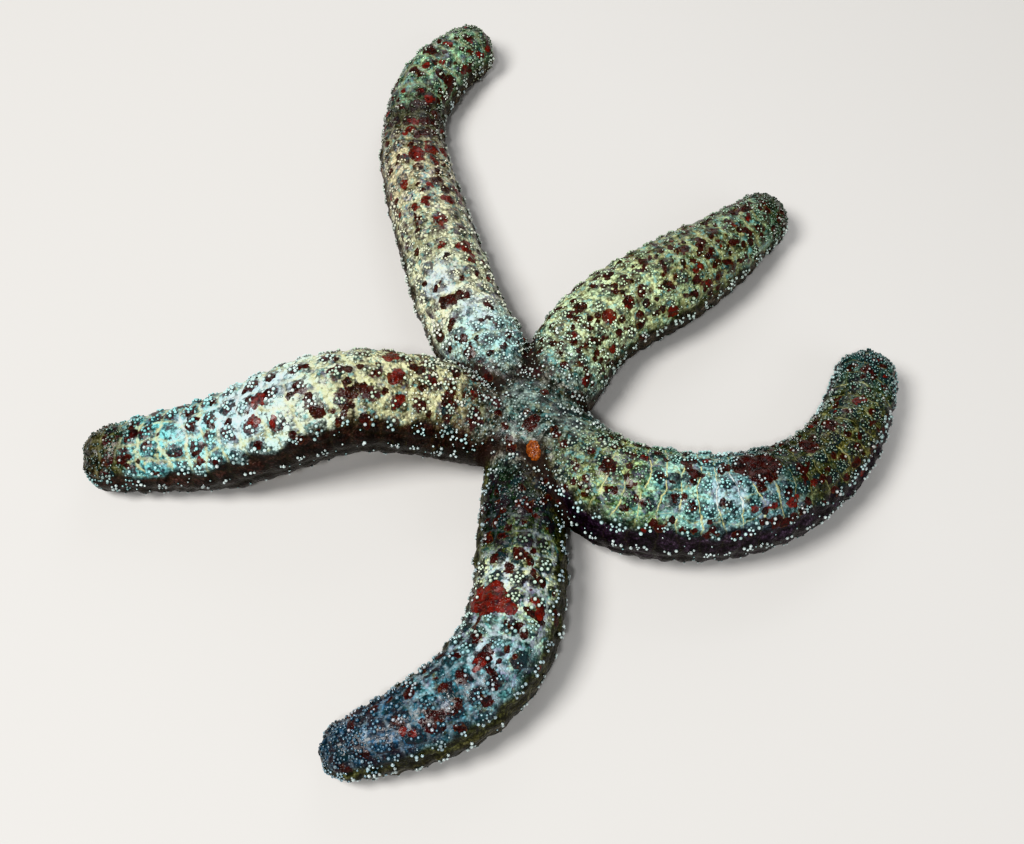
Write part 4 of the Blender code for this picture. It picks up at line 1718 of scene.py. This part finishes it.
def growArm(name):
    arm, looks = arms[name], markings[name]
    colour, white, edge = looks["grain"], grains["white"], grains["edgeSpan"]
    for plate in plateList:
        if plate["arm"] != name:
            continue
        along, turn = plate["along"], plate["turn"]
        away = abs(turn) - flankStart(name, along, turn)
        filled = 1.0
        if away < -edge:
            kind, tint, filled = looks["cluster"], colour, grains["filled"]
        elif away < edge:
            kind, tint = grains["edge"], blend(colour, white, 0.5)
        elif abs(turn) < grains["lowTurn"]:
            kind, tint = grains["flank"], white
        else:
            kind, tint, filled = grains["low"], white, grains["low"]["filled"]
        if filled == 1.0 or chance.random() < filled:
            growCluster(arm, along, turn, kind, tint)
    start, limit = arm["root"] - grains["singleStart"], grains["singleTurn"]
    area = (arm["length"] - start) * math.radians(2 * limit) * float(radiusAt(arm, arm["length"] / 2))
    for _ in range(round(area * looks["singles"])):
        along = chance.uniform(start, arm["length"] - grains["tipClear"])
        turn = chance.uniform(-limit, limit)
        if abs(turn) > flankStart(name, along, turn) and chance.random() < grains["flankBare"]:
            continue
        a, _ = lattice(arm, along, turn)
        beside = 0.5 - abs(a - round(a))  # the ribs across the arm are almost bare
        if beside < looks["ribWidth"] * grains["ribBare"] and chance.random() < looks["ribs"][0]:
            continue
        tint = blend(colour, white, chance.random())
        size = chance.uniform(*grains["singleSize"])
        addGrain(castToArm(arm, along, turn), size, tint, chance.uniform(*grains["backLight"]))
    for _ in range(grains["tipCount"]):
        along = arm["length"] - grains["tipReach"] * chance.random() ** grains["tipCrowd"]
        hit = castToArm(arm, along, chance.uniform(-grains["tipTurn"], grains["tipTurn"]))
        addGrain(hit, chance.uniform(*grains["tipSize"]), colour, chance.uniform(*grains["tipLight"]))


def growDisc():
    kind = grains["discCluster"]
    for x, y, _, size in discBeds:
        light = chance.uniform(*kind["light"])
        for _ in range(chance.randint(*kind["count"])):
            right, back = scatter(size * kind["spread"])
            addGrain(castDown(x + right, y + back), chance.uniform(*kind["size"]), grains["white"], light)
    for _ in range(grains["discCount"]):
        x, y = scatter(grains["discReach"])
        hit = castDown(x, y)
        if hit is not None and clearOfSieve(x, y):
            tint = blend(grains["discTint"], grains["white"], chance.random())
            addGrain(hit, chance.uniform(*grains["discSize"]), tint, chance.uniform(*grains["discLight"]))


def makeGrainPiece(name, chosen, shape):
    keys = ("place", "size", "out", "colour")
    roots, size, out, colours = (np.array([grain[key] for grain in chosen]) for key in keys)
    axes = [axesAlong(grain["out"]) for grain in chosen]
    sizes = np.column_stack([size, size, size * grains["tall"]])
    lift, clear = grains["lift"]
    middles = roots + out * (size * lift + clear)[:, None]
    corners = shape[0]
    heights = [height for _, height in grains["rings"]]
    level = np.abs(corners[:, 2:] - np.array(heights + [1.0])).argmin(axis=1)
    thing = copyShape(name, shape, middles, axes, sizes, colours, np.array(grains["shades"])[level])
    found = locate(roots)
    girth = girthShare(own(found, "turn"), own(found, "above"), own(found, "radius"))
    centres = bakePlace(found["arm"], own(found, "along"), girth)
    flat = unit(corners[:, :2]) * ((1 - corners[:, 2:]) / (1 - heights[0])) * grains["patch"]
    places = (centres[:, None] + flat[None]).reshape(-1, 2)
    putMap(thing.data, "OFBake", places[readValues(thing.data.loops, "vertex_index", kind=np.int32)])
    return thing


def makeGrains():
    for name in arms:
        growArm(name)
    growDisc()
    roots = np.array([grain["place"] for grain in grainList])
    red, brick = spotField(roots, maroonSpots), spotField(roots, brickSpots)
    found = locate(roots)
    nearDisc = own(found, "along") < grains["nearDisc"]
    column = np.where(nearDisc, len(arms), found["arm"])
    tints, flank, _ = skinTint(found, roots)
    # granules dimmed with the ground, which in places holds painted shade
    least, growth, most = grains["bright"]
    bright = np.where(nearDisc, 1.0, np.clip(least + growth * tints.mean(axis=1), least, most))
    takes = grains["takesTint"] * (1 - flank)
    rules = grains["onSpot"]
    kept = [[] for _ in range(len(arms) + 1)]
    for index, grain in enumerate(grainList):
        onBrick = brick[index] > rules["brick"]
        onSpot = onBrick or red[index] > 0.0
        bare = rules["bareDeep"] if onBrick or red[index] > rules["deep"] else rules["bare"]
        if onSpot and chance.random() < bare:
            continue
        dimmed = [channel * bright[index] for channel in grain["colour"]]
        dimmed = blend(dimmed, tints[index] * grains["tintGain"], takes[index])
        grain["colour"] = blend(grain["colour"], dimmed, 1 - flank[index])
        if onSpot:
            grain["colour"] = blend(grain["colour"], grains["spotTint"], grains["spotShare"])
        kept[column[index]].append(grain)
    shape = drawShape(grains["rings"], grains["sides"])
    names = [f"{name}_granules" for name in arms] + ["disc_granules"]
    pieces = [makeGrainPiece(name, chosen, shape) for name, chosen in zip(names, kept)]
    material = makeFormMaterial("granules")
    for piece in pieces:
        piece.data.materials.append(material)
    print("granules made:", [len(chosen) for chosen in kept])
    return pieces


grainPieces = makeGrains()

# Under the arms: tube feet and spines

under = {
    "footPitch": 1.5,
    "footStart": 4.2,
    "footEnd": 0.75,  # from the tip, of the cap's length
    "footStagger": 0.22,
    "footAcross": 0.13,  # of the arm's radius
    "footApart": 1.2,  # of the foot's own radius
    "footRadius": 0.30,
    "fullRadius": 5.2,  # of an arm, below which its feet are thinner
    "footRings": [(0.8, 0.0), (0.72, 0.35), (0.66, 0.70), (0.74, 0.86), (1.15, 0.93), (1.1, 1.0)],
    "footSides": 8,
    "footSink": 0.5,
    "footReach": (0.6, 3.4),
    "footLean": 0.10,
    "floorClear": 0.2,
    "footTints": ((0.55, 0.42, 0.27), (0.78, 0.66, 0.46)),
    # footShades: painted shade, darker at the root in the furrow and lighter towards the tip
    "footShades": (0.75, 0.35),
    "spineRings": [(1.0, 0.0), (0.95, 0.45), (0.80, 0.80), (0.45, 0.97)],
    "spineSides": 7,
    "spineFoot": 0.45,
    "spineEnd": 0.7,
    "spineLow": (0.12, 0.8),  # its lowest root: mm, and a share of its radius
    "spineVary": (0.88, 1.12),
    "spineTint": (0.40, 0.36, 0.28),
    # spineShades: painted shade, darker at the root and lighter towards the tip
    "spineShades": (0.55, 0.5),
    "outerFrom": -6,  # from the arm's root
    "innerFrom": 6.0,
    "outer": {"pitch": 1.5, "foot": (0.60, -0.75), "aim": (0.70, -0.45), "size": (1.15, 0.27)},
    "inner": {"pitch": 1.1, "foot": (0.27, -0.86), "aim": (-0.75, 0.10), "size": (1.0, 0.15)},
    "jaw": {"out": 3.9, "aside": (0.30, 0.75), "height": 1.1, "size": (1.8, 0.27), "drop": 0.2},
}


def makeFeet():
    roots, axes, sizes, tints = [], [], [], []
    least, most = under["footReach"]
    for arm in arms.values():
        end = arm["length"] - under["footEnd"] * capLength(arm)
        for index in range(round((end - under["footStart"]) / under["footPitch"])):
            for side in (-1, 1):
                step = index + 0.5 + under["footStagger"] * side
                along = under["footStart"] + step * under["footPitch"]
                centre, across, up, ahead, radius = sectionAt(arm, along)
                wide = under["footRadius"] * min(1.0, radius / under["fullRadius"])
                away = side * max(under["footAcross"] * radius, wide * under["footApart"])
                root = centre + across * away + up * section["furrowRoof"][1] * radius
                reach = min(root[2] - under["floorClear"], most)
                if reach < least:
                    continue
                root[2] += under["footSink"]
                lean = chance.uniform(-under["footLean"], under["footLean"])
                roots.append(root)
                axes.append(axesAlong((Vector((0, 0, -1)) + Vector(ahead) * lean).normalized()))
                sizes.append((wide, wide, (reach + under["footSink"]) * 0.98))
                tints.append(blend(*under["footTints"], chance.random()))
    shape = drawShape(under["footRings"], under["footSides"])
    foot, growth = under["footShades"]
    feet = copyShape("tube_feet", shape, roots, axes, sizes, tints, foot + growth * shape[0][:, 2])
    feet.data.materials.append(makeFormMaterial("tube feet"))
    print("tube feet made:", len(roots))
    return feet


def makeSpines():
    roots, axes, sizes = [], [], []
    clear, share = under["spineLow"]

    def addSpine(root, aim, length, radius):
        lowest = clear + radius * share
        aim = Vector(aim).normalized()
        length = length * chance.uniform(*under["spineVary"])
        root[2] = max(root[2], lowest)
        aim.z = max(aim.z, (lowest - root[2]) / length)
        roots.append(root)
        axes.append(axesAlong(aim.normalized()))
        sizes.append((radius, radius, length))

    for arm in arms.values():
        end = arm["length"] - under["spineEnd"] * capLength(arm)
        starts = {"outer": arm["root"] + under["outerFrom"], "inner": under["innerFrom"]}
        for name, start in starts.items():
            kind = under[name]
            (footAside, footUp), (aimAside, aimUp) = kind["foot"], kind["aim"]
            for index in range(round((end - start) / kind["pitch"])):
                centre, across, up, _, radius = sectionAt(arm, start + (index + 0.5) * kind["pitch"])
                for side in (-1, 1):
                    aim = unit(across * side * aimAside + up * aimUp)
                    foot = centre + (across * side * footAside + up * footUp) * radius
                    addSpine(foot - aim * under["spineFoot"], aim, *kind["size"])
    bearings = sorted(arm["bearings"][0][1] % 360 for arm in arms.values())
    jaw = under["jaw"]
    for first, second in zip(bearings, bearings[1:] + [bearings[0] + 360]):
        middle = math.radians((first + second) / 2)
        inward = Vector((-math.cos(middle), -math.sin(middle), 0))
        beside = Vector((-inward.y, inward.x, 0))
        for side in (-1, 1):
            for aside in jaw["aside"]:
                root = beside * side * aside - inward * jaw["out"] + Vector((0, 0, jaw["height"]))
                addSpine(root, inward - Vector((0, 0, jaw["drop"])), *jaw["size"])
    shape = drawShape(under["spineRings"], under["spineSides"])
    foot, growth = under["spineShades"]
    shades = foot + growth * shape[0][:, 2]
    spines = copyShape("furrow_spines", shape, roots, axes, sizes, [under["spineTint"]] * len(roots), shades)
    spines.data.materials.append(makeFormMaterial("spines"))
    print("spines made:", len(roots))
    return spines


feet, spines = makeFeet(), makeSpines()

# The sieve plate, a wrinkled orange oval seated in the disc

sieve = {
    "radii": (1.05, 1.5),
    "levels": [(1.0, -0.5), (1.02, -0.1), (0.99, 0.10), (0.93, 0.22), (0.84, 0.30), (0.73, 0.35)]
    + [(0.62, 0.38), (0.51, 0.40), (0.40, 0.41), (0.29, 0.42), (0.18, 0.42), (0.08, 0.42)],
    "sides": 56,
    "wrinkles": 9,
    "wrinkle": 0.07,
    "colour": (0.30, 0.075, 0.012),
    "deep": (0.11, 0.020, 0.005),
    "pale": (0.36, 0.17, 0.06),
    "bump": (0.06, 0.8),
    "roughness": 0.35,
    "coat": 0.3,
}


def makeSieve():
    seat, out = (Vector(part) for part in castDown(*sievePlace))
    beside = Vector((0, 1, 0)).cross(out).normalized()
    ahead = out.cross(beside)
    wide, long = sieve["radii"]
    rings = []
    for share, height in sieve["levels"]:
        ring = []
        for turn in (math.tau * index / sieve["sides"] for index in range(sieve["sides"])):
            radial = math.sin(sieve["wrinkles"] * turn + 5 * share + 2 * math.sin(2 * turn))
            rise = sieve["wrinkle"] * radial * min(1.0, 3 * share) if height > 0 else 0.0
            place = beside * math.cos(turn) * share * wide + ahead * math.sin(turn) * share * long
            ring.append(toFrame(seat + place + out * (height + rise)))
        rings.append(ring)
    plate = addObject("madreporite_plate", loft(rings, "madreporite plate"))
    plate.data.shade_smooth()
    material, tree, shader = newMaterial("sieve plate")
    mask = mottled(tree, "sieve")
    colour = mixColour(tree, mask, sieve["deep"], sieve["colour"])
    colour = mixColour(tree, times(tree, mottled(tree, "sievePale"), 0.5), colour, sieve["pale"])
    feed(tree, shader.inputs["Base Color"], colour)
    shader.inputs["Roughness"].default_value = sieve["roughness"]
    shader.inputs["Coat Weight"].default_value = sieve["coat"]
    addBump(tree, shader, mask, *sieve["bump"])
    plate.data.materials.append(material)
    print("sieve plate made")
    return plate


sievePlate = makeSieve()

# Floor and lights

stage = {
    "floorSize": 3.0,  # m
    "floorColour": (0.62, 0.61, 0.595),
    "floorRoughness": 0.75,
    "aimHeight": 6.0,  # mm
    "air": (0.88, 0.88, 0.87),
    "airStrength": 0.25,
    # name: place and size in m, power in W, colour
    "lamps": {
        "key": ((-0.22, -0.10, 0.42), 0.20, 2.5, (1.0, 0.98, 0.95)),
        "fill": ((0.40, -0.28, 0.26), 0.40, 0.5, (0.96, 0.98, 1.0)),
        "back": ((0.10, 0.42, 0.30), 0.34, 0.7, (1.0, 1.0, 1.0)),
        "spark": ((-0.06, -0.30, 0.46), 0.05, 0.8, (1.0, 1.0, 1.0)),
    },
}


def makeFloor():
    bm = bmesh.new()
    bmesh.ops.create_grid(bm, x_segments=1, y_segments=1, size=stage["floorSize"] / 2)
    floor = addObject("floor", meshFrom(bm, "floor"))
    material, _, shader = newMaterial("floor")
    shader.inputs["Base Color"].default_value = (*stage["floorColour"], 1)
    shader.inputs["Roughness"].default_value = stage["floorRoughness"]
    floor.data.materials.append(material)


def makeLights():
    world = bpy.data.worlds.new("studio")
    world.use_nodes = True
    background = world.node_tree.nodes["Background"]
    background.inputs["Color"].default_value = (*stage["air"], 1)
    background.inputs["Strength"].default_value = stage["airStrength"]
    scene.world = world
    scene.view_settings.view_transform = "Khronos PBR Neutral"
    aim = (discCentre + Vector((0, 0, stage["aimHeight"]))) * mm
    for name, (place, size, power, colour) in stage["lamps"].items():
        data = bpy.data.lights.new(name, "AREA")
        data.shape = "DISK"
        data.size = size
        data.energy = power
        data.color = colour
        lamp = addObject(name, data)
        lamp.location = place
        lamp.rotation_euler = (aim - lamp.location).to_track_quat("-Z", "Y").to_euler()


makeFloor()
makeLights()
print("stage lit")

# What each piece stands for, and what it moves with

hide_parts(*[name for name in frame["nodes"] if name != "madreporite"])
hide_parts("madreporite")
pieceSlots = [(skin, "disc_skin"), (sievePlate, "sieve_plate"), (feet, "tube_feet"), (spines, "granules")]
for piece, slot in pieceSlots + [(piece, "granules") for piece in grainPieces]:
    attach(piece, "root")
